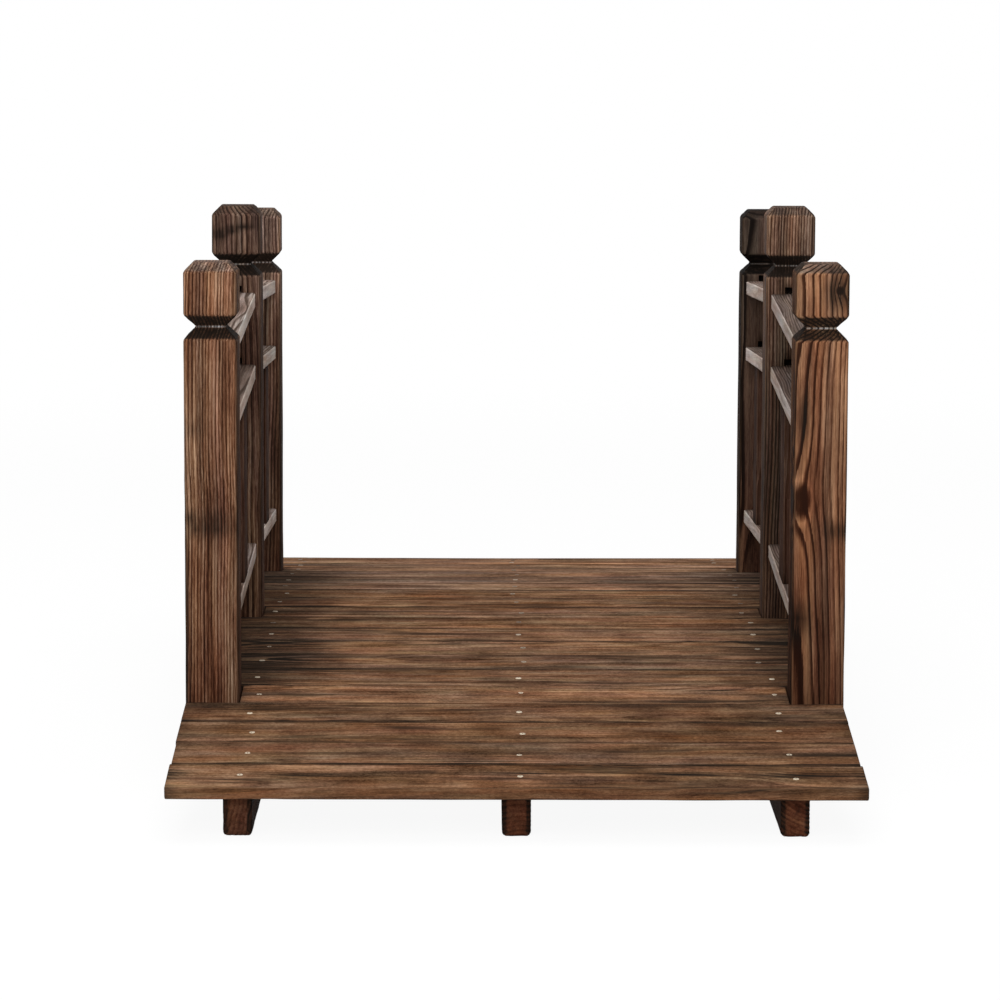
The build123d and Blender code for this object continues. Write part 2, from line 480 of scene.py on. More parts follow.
    def grow(self, wood, brush_depth, offset):
        """Works out the rings, knots and burn at each point, and brushes out the soft wood."""
        along = self.along
        shift_a, shift_b = (lean * along + wood.wander * wave(along, wood.seed + turn, period)
                            for lean, turn, period in zip(wood.lean, (0, 50), self.WANDER_PERIODS))
        u = (self.a - wood.pith[0] - shift_a) / wood.ring
        v = (self.b - wood.pith[1] - shift_b) / wood.ring
        run, cross = self.SWIRL_CELLS
        drift = soft_noise(np.stack([along * run, u * cross, v * cross], 1), wood.seed) - 0.5
        self.swirl = self.SWIRL * drift
        self.knot, collar = np.zeros_like(along), np.zeros_like(along)
        for station, turn, size in wood.knots:
            way_u, way_v = math.cos(turn), math.sin(turn)
            reach = u * way_u + v * way_v
            side = np.abs(u * way_v - v * way_u) * wood.ring
            ahead = np.abs(along - station)
            gap = np.hypot(side / size, ahead / (self.KNOT_STRETCH * size))
            outward = smooth_step(reach, *self.KNOT_ROOT)
            self.knot = np.maximum(self.knot, outward * (1 - smooth_step(gap, *self.KNOT_FADE)))
            collar = np.maximum(collar, outward * hump(gap - self.COLLAR_AT, self.COLLAR_BREADTH))
            aside, onward = side / (self.BULGE_BESIDE * size), ahead / (self.BULGE_ALONG * size)
            bulge = np.exp(-aside ** 2 - onward ** 2)
            self.swirl = self.swirl + outward * self.SWIRL * bulge
        self.scorch, gleam = np.zeros_like(along), self.COLLAR_GLEAM * collar
        for station, at_a, at_b, long, broad, strength in wood.scorches:
            beside = (self.a - at_a) ** 2 + (self.b - at_b) ** 2
            spot = np.exp(-(((along - station) / long) ** 2 + beside / broad ** 2))
            self.scorch = np.maximum(self.scorch, strength * spot)
            gleam = np.maximum(gleam, -strength * spot)
        phase = np.hypot(u, v) + self.swirl
        ring_share = phase - np.floor(phase)
        late = smooth_step(ring_share, *self.LATE_START) * (1 - smooth_step(ring_share, *self.LATE_STOP))
        run, cross = self.FIBRE_CELLS
        fibre = soft_noise(np.stack([along * run, u * cross, v * cross], 1), wood.seed + 7)
        self.sink = brush_depth * (0.25 + 0.75 * fibre) * (1 - late) * (1 - self.KNOT_STANDS * self.knot)
        self.sink += self.edge * brush_depth * self.EDGE_WEAR * soft_noise(
            np.stack([along * self.WEAR_CELLS, np.sign(self.a), np.sign(self.b)], 1), wood.seed + 9)
        self.grain = np.stack([along + offset, u, v], 1)
        span = (along - along.min()) / max(np.ptp(along), 1e-9)
        self.tint = np.outer(1 - span, wood.tint) + np.outer(span, wood.fade)
        self.tint[:, 0] *= 1 + gleam

    def from_end(self):
        """How far each point is from the nearer end."""
        return np.minimum(self.along - self.along.min(), self.along.max() - self.along)

    def sooty_ends(self, strength, reach):
        """Soot that fades from both ends."""
        return strength * np.exp(-self.from_end() / reach)

    def moved(self):
        """Local places after brushing."""
        outs = ((self.along, self.out_along), (self.a, self.out_a), (self.b, self.out_b))
        return [place - out * self.sink for place, out in outs]


# Rows on the round of an end, as shares of a quarter turn, the least gap between rows, as a share of
# their step, and how far from a knot rows are added, in its sizes.
ROUND_TURNS = np.array([0.0, 0.35, 0.7, 1.0])
LEAST_GAP = 0.25
JUST_PAST = 1.01
KNOT_REACH = 6.5
KNOT_STATIONS = 33


def end_rows(first, last, step, radius, extra=()):
    """Stations along a timber, close together at its two rounded ends and wherever asked."""
    soft = radius * (1 - np.cos(ROUND_TURNS * math.pi / 2))
    count = max(2, int(round((last - first - 2 * radius) / step)))
    wanted = np.asarray(extra, float)
    rows = np.concatenate([first + soft, np.linspace(first + radius, last - radius, count + 1)[1:-1],
                           (last - soft)[::-1], wanted])
    rows = np.unique(np.round(rows, 6))
    wanted = np.round(wanted, 6)
    keep = np.ones(len(rows), bool)
    for k in range(1, len(rows) - 1):
        near = min(rows[k] - rows[k - 1], rows[k + 1] - rows[k]) < step * LEAST_GAP
        middling = first + radius * JUST_PAST < rows[k] < last - radius * JUST_PAST
        keep[k] = not (near and middling and not np.any(np.abs(wanted - rows[k]) < 1e-6))
    return rows[keep]


def end_inset(rows, radius):
    """How far the section draws in at the rounded ends."""
    gap = np.minimum(rows - rows[0], rows[-1] - rows)
    share = np.clip(1 - gap / radius, 0, 1)
    return radius * (1 - np.sqrt(np.maximum(0, 1 - share ** 2)))


def even(count):
    """Even places from -1 to 1."""
    return np.linspace(-1, 1, count + 1)


def columns(width, step):
    """Even places across a face of a width."""
    return even(max(3, int(round(width / step))))


def knot_rows(wood):
    """More stations on each side of a timber's knots."""
    shares = np.linspace(-KNOT_REACH, KNOT_REACH, KNOT_STATIONS)
    return [station + size * share for station, _, size in wood.knots for share in shares]


def make_piece(name, sticks, places, finish, nodes):
    """Turns worked timbers into one mesh object that stands for its CAD node."""
    points, faces, start = [], [], 0
    fields = {"grain": [], "tint": [], "swirl": [], "knot": [], "char": [], "edge": []}
    for stick, place in zip(sticks, places):
        world = np.stack(place(*stick.moved()), axis=1)
        points.append(world)
        faces.append(stick.faces + start)
        start += len(world)
        for key, values in fields.items():
            values.append(getattr(stick, key))
    points, faces = np.vstack(points), np.vstack(faces)
    mesh = bpy.data.meshes.new(name)
    mesh.vertices.add(len(points))
    mesh.vertices.foreach_set("co", points.astype(np.float32).ravel())
    mesh.loops.add(faces.size)
    mesh.loops.foreach_set("vertex_index", faces.astype(np.int32).ravel())
    mesh.polygons.add(len(faces))
    mesh.polygons.foreach_set("loop_start", np.arange(0, faces.size, 4, dtype=np.int32))
    mesh.update(calc_edges=True)
    for key, values in fields.items():
        add_field(mesh, key, np.concatenate(values))
    piece = link_mesh(name, mesh, finish)
    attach(piece, BODY)
    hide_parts(*nodes)
    return piece


def add_field(mesh, key, values):
    """Keeps a number or a vector at every point of a mesh for its finish to read."""
    kind, field = ("FLOAT_VECTOR", "vector") if values.ndim == 2 else ("FLOAT", "value")
    mesh.attributes.new(key, kind, "POINT").data.foreach_set(field, values.astype(np.float32).ravel())


def link_mesh(name, mesh, finish):
    """A smooth-shaded object of a mesh with its finish, in the scene."""
    mesh.polygons.foreach_set("use_smooth", np.ones(len(mesh.polygons), bool))
    mesh.materials.append(finish)
    piece = bpy.data.objects.new(name, mesh)
    bpy.context.scene.collection.objects.link(piece)
    return piece


def grain_start(kind, number):
    """Where one piece starts along the grain's noise."""
    return GRAIN_STARTS[kind] + GRAIN_APART * number


def nodes_named(start):
    """The CAD nodes whose names begin alike, in order."""
    return sorted(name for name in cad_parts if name.startswith(start))


def box_of(node):
    """Lowest and highest corner of a CAD node as arrays."""
    return [np.array(corner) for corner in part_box(node)]


def node_points(node):
    """Corners of a CAD node as an array."""
    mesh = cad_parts[node].data
    points = np.zeros(len(mesh.vertices) * 3, np.float32)
    mesh.vertices.foreach_get("co", points)
    return points.reshape(-1, 3).astype(float)


LOOKS_UP = 0.7


def upward_faces(node):
    """(normal, area, corner points) of the faces of a CAD node that look up."""
    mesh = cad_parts[node].data
    return [(poly.normal.copy(), poly.area, [mesh.vertices[v].co.copy() for v in poly.vertices])
            for poly in mesh.polygons if poly.normal.z > LOOKS_UP]


def board_axes(node):
    """The way across a deck board's width and the way its upper face looks."""
    normal = max(upward_faces(node), key=lambda face: face[1])[0]
    return Vector((0.0, normal.z, -normal.y)), normal


@dataclass
class Recipe:
    """The colours and strengths that one kind of timber's finish is mixed from."""

    light: tuple
    body: tuple
    ring: tuple
    soot: tuple
    black: tuple
    middle: float = 0.6
    rings: float = 0.3
    ring_start: float = 0.34
    wide: float = 0.7
    streak: float = 0.7
    fibre: float = 0.7
    hair: float = 0.7
    bands: float = 0.5
    band_low: float = 0.56
    band_soft: float = 0.1
    run: float = 1.0
    cross: float = 1.0
    hair_run: float = 75.0
    hair_cross: float = 5.0
    figure: float = 0.0
    cast: float = 0.0
    hue: float = 0.4
    flame: float = 0.4
    rust: tuple = (0.86, 0.56, 0.47)
    worn: float = 0.3
    rough: float = 0.74
    specular: float = 0.03


# Noises drawn out along the grain: cells to a metre along it, cells to a ring across it,
# a shift that keeps one apart from the next, levels of detail and their roughness.
GRAIN_NOISES = {
    "wide": (2.0, 0.36, 0.0, 4.0, 0.6),
    "streak": (3.6, 1.1, 0.0, 5.0, 0.7),
    "fibre": (6.0, 3.0, 0.0, 5.0, 0.75),
    "figure": (3.0, 0.5, 11.0, 3.0, 0.45),
    "band": (1.4, 0.27, 31.0, 5.0, 0.65),
    "patch": (9.0, 0.16, 57.0, 3.0, 0.5),
    "cast": (2.0, 0.2, 83.0, 3.0, 0.5),
    "warm": (4.0, 0.28, 109.0, 4.0, 0.5),
    "cool": (4.0, 0.28, 137.0, 4.0, 0.5),
}
HAIR_DETAIL = 3.0
HAIR_ROUGHNESS = 0.8
# Strengths that every kind of timber shares.
FIGURE_WAVES = 8.0
RING_RAGGED = 0.35
RING_JUMP = 17.3
RING_FULL = 0.84
RING_STOP = 0.92
RING_CHANCE = 0.12
PATCH_TONE = 0.5
KNOT_TONE = 0.6
PALEST = 1.3
DEEPEST = 0.55
SILVER = (0.74, 0.67, 0.62)
TIMBER_BUMP = 0.6
TIMBER_BUMP_REACH = 0.0006


def shades(*colours):
    """Colours as plain tuples."""
    return [tuple(colour) for colour in colours]


def timber_finish(name, recipe):
    """Burnt and brushed wood: growth rings, streaks, fibres, sooty bands, knots and worn edges."""
    material = bpy.data.materials.new(name)
    mix = Finish(material)
    along, u, v = mix.parts(mix.attribute("grain", "Vector"))
    lift, red, grey = mix.parts(mix.attribute("tint", "Vector"))
    knot, char, edge = (mix.attribute(key) for key in ("knot", "char", "edge"))

    def grain(run, cross, shift, detail, roughness):
        run, cross = run * recipe.run, cross * recipe.cross
        return mix.noise(mix.vector(along * run + shift, u * cross, v * cross), detail, roughness)

    noises = {key: grain(*row) for key, row in GRAIN_NOISES.items()}
    hair = grain(recipe.hair_run, recipe.hair_cross, 0.0, HAIR_DETAIL, HAIR_ROUGHNESS) - 0.5
    wide, streak, fibre, patch, cast, warm, cool = (
        noises[key] - 0.5 for key in ("wide", "streak", "fibre", "patch", "cast", "warm", "cool"))
    figure = mix.step(mix.math("PINGPONG", noises["figure"] * FIGURE_WAVES, 0.5), 0.36, 0.5)

    # Growth rings: each goes from soft wood to a dark late edge, some stronger than others.
    phase = mix.math("SQRT", u * u + v * v) + mix.attribute("swirl") + fibre * RING_RAGGED
    ring_share = mix.math("FRACT", phase)
    piece = mix.math("FLOOR", along * (1 / GRAIN_APART))
    chance = mix.add("ShaderNodeTexWhiteNoise", {"noise_dimensions": "1D"},
                     {"W": mix.math("FLOOR", phase) + piece * RING_JUMP}, "Value")
    late = mix.step(ring_share, recipe.ring_start, RING_FULL) * (1 - mix.step(ring_share, RING_STOP, 1.0))
    late = late * (chance * 0.9 + 0.4)

    # The tone of the bare wood, from its darkest rings to its palest streaks.
    tone = wide * recipe.wide + streak * recipe.streak + fibre * recipe.fibre + hair * recipe.hair
    tone = recipe.middle + tone + patch * PATCH_TONE + (chance - 0.5) * RING_CHANCE
    tone = mix.clip(tone - late * recipe.rings - figure * recipe.figure - knot * KNOT_TONE)
    pale = tuple(min(1.0, part * PALEST) for part in recipe.light)
    deep = tuple(part * DEEPEST for part in recipe.ring)
    stops = ((0.0, deep), (0.24, recipe.ring), (0.52, recipe.body), (0.82, recipe.light), (1.0, pale))
    colour = mix.add("ShaderNodeValToRGB", {"stops": stops}, {"Fac": tone}, "Color")

    # Rusty, silvered, warm and cool patches.
    rusty = mix.clip(red - patch * 1.5 + cast * recipe.cast)
    colour = mix.blend(rusty, colour, recipe.rust, "MULTIPLY")
    plain = mix.add("ShaderNodeRGBToBW", sockets={"Color": colour})
    silver = mix.vector(*(plain * part for part in SILVER))
    colour = mix.blend(mix.clip(grey - patch * 0.5 - cast * recipe.cast), colour, silver)
    hues = mix.vector(1 + warm * recipe.hue, 1.0, 1 + (cool * 0.75 - warm * 0.5) * recipe.hue)
    colour = mix.blend(1.0, colour, hues, "MULTIPLY")

    # Soot left in streaks, and the char that each piece carries, ragged along its fibres.
    sooty = noises["band"] + streak * 0.3 + fibre * 0.15
    sooty = mix.step(sooty, recipe.band_low, recipe.band_low + recipe.band_soft) * recipe.bands
    sooty = mix.clip(sooty * (1 + hair * 1.2))
    ragged = mix.step(char * (1 + streak * 1.4 + fibre + (late - 0.3) * recipe.flame), 0.0, 1.0)
    colour = mix.blend(sooty, colour, recipe.soot)
    colour = mix.blend(ragged, colour, recipe.black)
    worn = edge * mix.step(fibre, -0.08, 0.1) * (1 - char) * recipe.worn
    colour = mix.blend(worn, colour, recipe.light)
    colour = mix.blend(1.0, colour, mix.vector(lift, lift, lift), "MULTIPLY")

    burn = mix.math("MAXIMUM", sooty, ragged)
    rough = recipe.rough + burn * 0.14 - late * 0.08 + hair * 0.12
    height = late * 0.5 + hair * 0.6 + fibre * 0.6
    mix.surface(colour, rough, height, TIMBER_BUMP, TIMBER_BUMP_REACH, recipe.specular)
    return material


# Boards are counted from 0 at the front: the first between the posts, of the middle and of the far end.
POST_BOARD = 4
MIDDLE_BOARD = 5
FAR_BOARD = 13
DECK_SEED = 400
BOARD_SEED = 900
BOARD_EDGE_SEED = 700
DECK_LIFTS = (0.98, 0.92, 0.93, 0.86, 1.24, 0.98, 0.92, 1.04, 1.12, 1.0, 1.02, 0.98, 1.06,
              1.3, 1.2, 1.3, 1.5, 1.4, 1.58, 1.52, 1.5)
DECK_GREYS = {5: 0.1, 6: 0.22, 10: 0.15, 13: 0.2, 14: 0.36, 15: 0.32, 16: 0.24, 17: 0.28, 18: 0.2,
              19: 0.26, 20: 0.24}
# Soot and painted shade on a board's ends beside the posts, where the posts and rails shade the deck.
SOOT_AND_SHADE_ENDS = {4: 0.2, 5: 0.9, 6: 1.0, 7: 0.95, 8: 0.9, 9: 0.8, 10: 0.6, 11: 0.7, 12: 0.8, 13: 0.9,
              14: 1.0, 15: 0.9, 16: 0.5}
# Burnt streaks on a board's upper face: station, place across, length, breadth and strength.
DECK_STREAKS = {
    0: ((-0.19, 0.002, 0.05, 0.006, 0.85), (-0.325, 0.008, 0.016, 0.009, 0.7),
        (-0.085, 0.014, 0.016, 0.006, 0.6), (0.0, 0.008, 0.042, 0.007, 0.75),
        (0.005, -0.021, 0.05, 0.004, 0.6), (0.165, 0.006, 0.04, 0.008, 0.75),
        (0.28, 0.004, 0.06, 0.01, 0.9), (-0.13, 0.018, 0.08, 0.005, -0.3)),
    1: ((-0.185, -0.002, 0.075, 0.005, 0.7), (0.01, 0.0, 0.07, 0.006, 0.65),
        (0.297, -0.003, 0.045, 0.009, 0.9), (0.22, 0.0, 0.05, 0.004, 0.5),
        (-0.04, -0.026, 0.08, 0.005, 0.6)),
    2: ((-0.26, 0.012, 0.07, 0.012, 0.45), (0.25, 0.027, 0.08, 0.01, 0.7),
        (0.13, -0.01, 0.05, 0.009, 0.5)),
    3: ((0.16, 0.027, 0.11, 0.011, 0.7), (-0.31, 0.018, 0.03, 0.013, 0.6)),
    4: ((0.2, 0.018, 0.04, 0.006, 0.5), (-0.1, -0.02, 0.1, 0.008, -0.2)),
}
# A board's upper face from its middle, and the most that a board bows.
BOARD_TOP = 0.0065
BOARD_BOW = 0.0007
# The soot and painted shade beside the posts: where it starts and is full, from the middle line to the left
# and right.
SOOT_AND_SHADE_LEFT = (0.13, 0.29)
SOOT_AND_SHADE_RIGHT = (0.17, 0.31)
# How much wider the rings get with each far board, and how wide those of the middle are.
RINGS_WIDEN = 0.14
MIDDLE_RINGS = 0.8
FRONT_FADE = 0.93


def deck_coarseness(number):
    """How wide the growth rings of one board are, against those of the front boards."""
    if number >= FAR_BOARD:
        return 1 + RINGS_WIDEN * (number - FAR_BOARD + 1)
    return MIDDLE_RINGS if number >= MIDDLE_BOARD else 1.0


def deck_wood(number):
    """Listed tone and a seeded cut for one deck board."""
    chance = np.random.default_rng(DECK_SEED + number)
    side = chance.uniform(0.015, 0.07) * chance.choice((-1, 1))
    depth = chance.uniform(0.03, 0.07) * chance.choice((-1, 1))
    knots = ()
    if chance.random() < 0.2:
        station = chance.uniform(-0.28, 0.28)
        knots = ((station, -math.copysign(math.pi / 2, depth), chance.uniform(0.003, 0.005)),)
    lift, red, grey = DECK_LIFTS[number], chance.uniform(0.0, 0.16), chance.uniform(0.0, 0.15)
    grey = DECK_GREYS.get(number, grey)
    right_lift = lift * chance.uniform(0.92, 1.08) * (FRONT_FADE if number < POST_BOARD else 1.0)
    lean = (chance.uniform(-0.02, 0.02), chance.uniform(-0.03, 0.03))
    ring = chance.uniform(0.0028, 0.0042) * deck_coarseness(number)
    streaks = tuple((x, at, BOARD_TOP, *rest) for x, at, *rest in DECK_STREAKS.get(number, ()))
    return Wood(DECK_SEED + number, pith=(side, depth), lean=lean, wander=0.003, ring=ring,
                tint=(lift, red, grey), fade=(right_lift, red, grey), knots=knots, scorches=streaks)


def burn_board(stick, half, number, chance):
    """Soots a board's ends, rims and underside, darkens its ends beside the posts with soot and painted
    shade, brushes its rims pale with a painted highlight on the front rims, and leaves its edges sawn.
    """
    end_soot = stick.sooty_ends(0.5, 0.006) * chance.uniform(0.3, 1.0)
    # Soot and painted shade on the ends beside the posts, where the posts and rails shade the deck.
    post_soot_and_shade = smooth_step(-stick.along, *SOOT_AND_SHADE_LEFT) + 0.85 * smooth_step(stick.along, *SOOT_AND_SHADE_RIGHT)
    post_soot_and_shade = 0.8 * SOOT_AND_SHADE_ENDS.get(number, 0.0) * post_soot_and_shade
    rim = half[1] - np.abs(stick.a)
    burnt = np.where(stick.a < 0, chance.uniform(0.3, 1.0), chance.uniform(0.3, 1.0))
    rim_soot = 0.75 * burnt * hump(rim, 0.0026 + 0.00022 * number)
    under_soot = 0.3 * (stick.b < -half[2] * 0.9)
    stick.char = np.clip(end_soot + stick.scorch + post_soot_and_shade + rim_soot + under_soot, 0, 1)
    # A pale line just inside each rim: brushed wear, and on the front rims and the far boards also a painted
    # highlight where the front lamp catches the edge.
    brushed = np.where(stick.a < 0, chance.uniform(0.2, 0.6), chance.uniform(0.0, 0.3))
    brushed = brushed * (0.5 if number < FAR_BOARD else 1.1)
    stick.tint[:, 0] *= 1 + brushed * hump(rim - 0.007 - 0.0003 * number, 0.0035 + 0.0002 * number)
    sawn = facing(np.abs(stick.out_a))
    stick.grain[:, 1:] *= 1 + 2.2 * sawn[:, None]
    stick.grain[:, 0] *= 1.0 if number < FAR_BOARD else 0.6
    stick.tint[:, 1] += 0.45 * sawn


def board_place(centre, half, across, normal, chance):
    """Lays a board on its facet, a little bowed and twisted below its true face."""
    bow = chance.uniform(0.0, BOARD_BOW, 2)
    phase = chance.uniform(0, math.pi, 2)

    def place(along, a, b):
        dip = bow[0] * (1 + np.sin(2.5 * along / half[0] + phase[0])) / 2
        dip = dip + bow[1] * (1 + np.sin(2.0 * along / half[0] + phase[1]) * a / half[1]) / 2
        a, b = centre[1] + a, centre[2] + (b - dip * (b > 0))
        return centre[0] + along, a * across.y + b * normal.y, a * across.z + b * normal.z

    return place


def build_deck(settings):
    """Every deck board, flat on its facet of the arch."""
    joinery, timber = settings.joinery, settings.timber
    colours = shades(timber.deck_light, timber.deck_brown, timber.deck_dark, timber.deck_soot)
    finish = timber_finish("deck_fir", Recipe(
        *colours, from_screen(34, 29, 25), middle=0.56, rings=0.14, wide=0.82, streak=0.3, fibre=0.33,
        hair=0.72, bands=0.9, band_low=0.525, band_soft=0.17, run=2.5, cross=0.5, hair_run=100.0,
        hair_cross=2.0, figure=0.08, cast=0.65, hue=0.66, flame=0.9, rust=(0.96, 0.74, 0.54), rough=0.78,
        specular=0.0))
    names = nodes_named("deck_board")
    for number, node in enumerate(names):
        chance = np.random.default_rng(BOARD_SEED + number)
        wood = deck_wood(number)
        across, normal = board_axes(node)
        local = node_points(node) @ np.array([[1, 0, 0], list(across), list(normal)]).T
        low, high = local.min(0), local.max(0)
        half = (high - low) / 2
        whole = 0 < number < len(names) - 1 and half[0] > CAD_BOX[1][0] - 0.001
        trims = chance.uniform(0, joinery.uneven_end, 2) * whole
        radius = joinery.end_round
        rows = end_rows(-half[0] + trims[0], half[0] - trims[1], timber.row_step, radius, knot_rows(wood))
        inset = end_inset(rows, radius)
        edge = joinery.board_round * (1 + 0.3 * wave(rows, BOARD_EDGE_SEED + number, 0.23))
        stick = Stick(rows, half[1] - inset, half[2] - inset, edge,
                      columns(2 * half[1], timber.column_step), even(5))
        stick.grow(wood, timber.brush_depth, grain_start("deck", number))
        burn_board(stick, half, number, chance)
        place = board_place((low + high) / 2, half, across, normal, chance)
        make_piece(node + "_wood", [stick], [place], finish, [node])


STRINGER_WOODS = {
    "stringer_left": Wood(31, pith=(0.02, -0.06), lean=(0.01, 0.0), ring=0.0044,
                          tint=(0.98, 0.3, 0.1), fade=(0.8, 0.35, 0.1)),
    "stringer_centre": Wood(32, pith=(-0.05, 0.012), lean=(0.0, 0.01), ring=0.005,
                            tint=(0.9, 0.5, 0.0), fade=(0.84, 0.3, 0.1)),
    "stringer_right": Wood(33, pith=(0.09, 0.05), lean=(-0.01, 0.0), ring=0.0046,
                           tint=(0.98, 0.5, 0.0), fade=(0.8, 0.35, 0.1)),
}
STRINGER_DEPTH = 0.06


def build_stringers(settings):
    """The three arched beams under the deck."""
    joinery, timber = settings.joinery, settings.timber
    finish = timber_finish("stringer_fir", Recipe(
        *shades(timber.tan, from_screen(86, 54, 38), timber.umber, timber.soot, timber.soot),
        middle=0.5, rings=0.16, rough=0.78))
    step = timber.column_step * 1.5
    rise, radius = joinery.arch_rise, joinery.stringer_round
    for number, (node, wood) in enumerate(STRINGER_WOODS.items()):
        low, high = box_of(node)
        seats = {(round(p.y, 5), round(p.z, 5)) for _, _, corners in upward_faces(node) for p in corners}
        seat_y, seat_z = np.array(sorted(seats)).T
        end_y = high[1]
        arch_half = end_y - joinery.foot_length
        arch_radius = (arch_half ** 2 + rise ** 2) / (2 * rise)
        rows = end_rows(-end_y, end_y, timber.row_step, radius, [*seat_y[1:-1], -arch_half, arch_half])
        arch = rise - arch_radius + np.sqrt(np.maximum(0, arch_radius ** 2 - rows ** 2))
        under = np.maximum(np.where(np.abs(rows) < arch_half, arch, 0), 0)
        over = np.interp(rows, seat_y, seat_z)
        middle, half_high = (over + under) / 2, (over - under) / 2
        inset = end_inset(rows, radius)
        half_wide = (high[0] - low[0]) / 2
        x_middle = (high[0] + low[0]) / 2
        stick = Stick(rows, half_high - inset, half_wide - inset, radius,
                      columns(STRINGER_DEPTH, step), columns(2 * half_wide, step))
        stick.grow(wood, timber.brush_depth, grain_start("stringers", number))
        end_soot = stick.sooty_ends(0.12, 0.01)
        # The side faces are made much darker than the ends, the top and the bottom.
        darker_sides = 0.6 * facing(np.abs(stick.out_b))
        stick.char = np.clip(end_soot + 0.3 * stick.edge + 0.05 + darker_sides, 0, 1)

        def place(along, a, b, rows=rows, middle=middle, x_middle=x_middle):
            return x_middle + b, along, np.interp(along, rows, middle) + a

        make_piece(node + "_wood", [stick], [place], finish, [node])


# How far the creases of a post and the edge of its top are softened, and the room left beside a crease.
CREASE_SOFT = 0.0022
TOP_EASE = 0.0006
GROOVE_ROOM = 0.002
CAP_ROOM = 0.003
CAP_ROWS = 8


def post_profile(low, high, joinery, step, extra):
    """Stations up a post with the inset and edge round at each, softened at every crease, and its groove."""
    depth, neck, bottom = joinery.groove_depth, joinery.groove_neck, joinery.end_round
    groove_top = high - joinery.cap_height
    neck_top, neck_low = groove_top - depth, groove_top - depth - neck
    groove_low = neck_low - depth
    shoulder = high - joinery.cap_chamfer
    corners_z = [low, groove_low, neck_low, neck_top, groove_top, shoulder, high]
    draw_in = [0.0, 0.0, depth, depth, 0.0, 0.0, joinery.cap_chamfer]
    creases = [z + CREASE_SOFT * share for z in corners_z[1:-1] for share in (-1.0, -0.5, 0.0, 0.5, 1.0)]
    slopes = [*np.linspace(groove_low, neck_low, 6)[1:-1], *np.linspace(neck_top, groove_top, 6)[1:-1],
              *np.linspace(shoulder, high, 5)[1:-1]]
    shaft = end_rows(low, groove_low - GROOVE_ROOM, step, bottom, extra)[:-3]
    cap = np.linspace(groove_top + CAP_ROOM, shoulder - CAP_ROOM, CAP_ROWS)
    rows = np.concatenate([shaft, cap, creases, slopes, [neck_low - 0.4 * neck, high - TOP_EASE, high]])
    rows = np.unique(np.round(rows, 6))
    shifts = np.linspace(-CREASE_SOFT, CREASE_SOFT, 9)
    eased = np.mean([np.interp(rows + shift, corners_z, draw_in) for shift in shifts], axis=0)
    inset = np.maximum(np.interp(rows, corners_z, draw_in), eased)
    foot = bottom - np.sqrt(np.maximum(0, bottom ** 2 - (bottom - (rows - low)) ** 2))
    inset = inset + np.where(rows < low + bottom, foot, 0)
    inset[-1] += TOP_EASE
    radius = np.where(inset > depth * 0.4, joinery.post_round * 0.45, joinery.post_round)
    return rows, inset, radius, (groove_low, groove_top)


def rail_frame(node, joinery):
    """(box low, box high, slope) of a rail, which is as thick upright all along."""
    low, high = box_of(node)
    rise = high[2] - low[2] - joinery.rail_thick
    slope = rise / (high[1] - low[1])
    return low, high, slope if low[1] < 0 else -slope


def rail_top(node, joinery, y):
    """Height of a rail's upper face at one station."""
    low, high, slope = rail_frame(node, joinery)
    middle = (low[2] + high[2]) / 2 + joinery.rail_thick / 2
    return middle + slope * (y - (low[1] + high[1]) / 2)


# A post's front face from its middle, how deep posts are brushed against the deck, and the breadth of
# the painted shade laid on every face of a lower shaft.
FRONT_FACE = -0.027
POST_BRUSH = 1.2
SHADE_ALL_ROUND_BREADTH = 0.06
# Mesh points across a slot, how near a rail and its post lie, and how deep a post's face is taken to be.
SLOT_SPOTS = 9
TOUCH = 0.001
SKIN = 0.002


def on_front(*burns):
    """Burns on a post's front face: station, place across, length, breadth and strength of each."""
    return tuple((station, across, FRONT_FACE, *rest) for station, across, *rest in burns)


def painted_shade_all_round(station, length, strength):
    """Painted shade on every face of a post's lower shaft, laid on as a long burn."""
    return ((station, 0.0, 0.0, length, SHADE_ALL_ROUND_BREADTH, strength),)
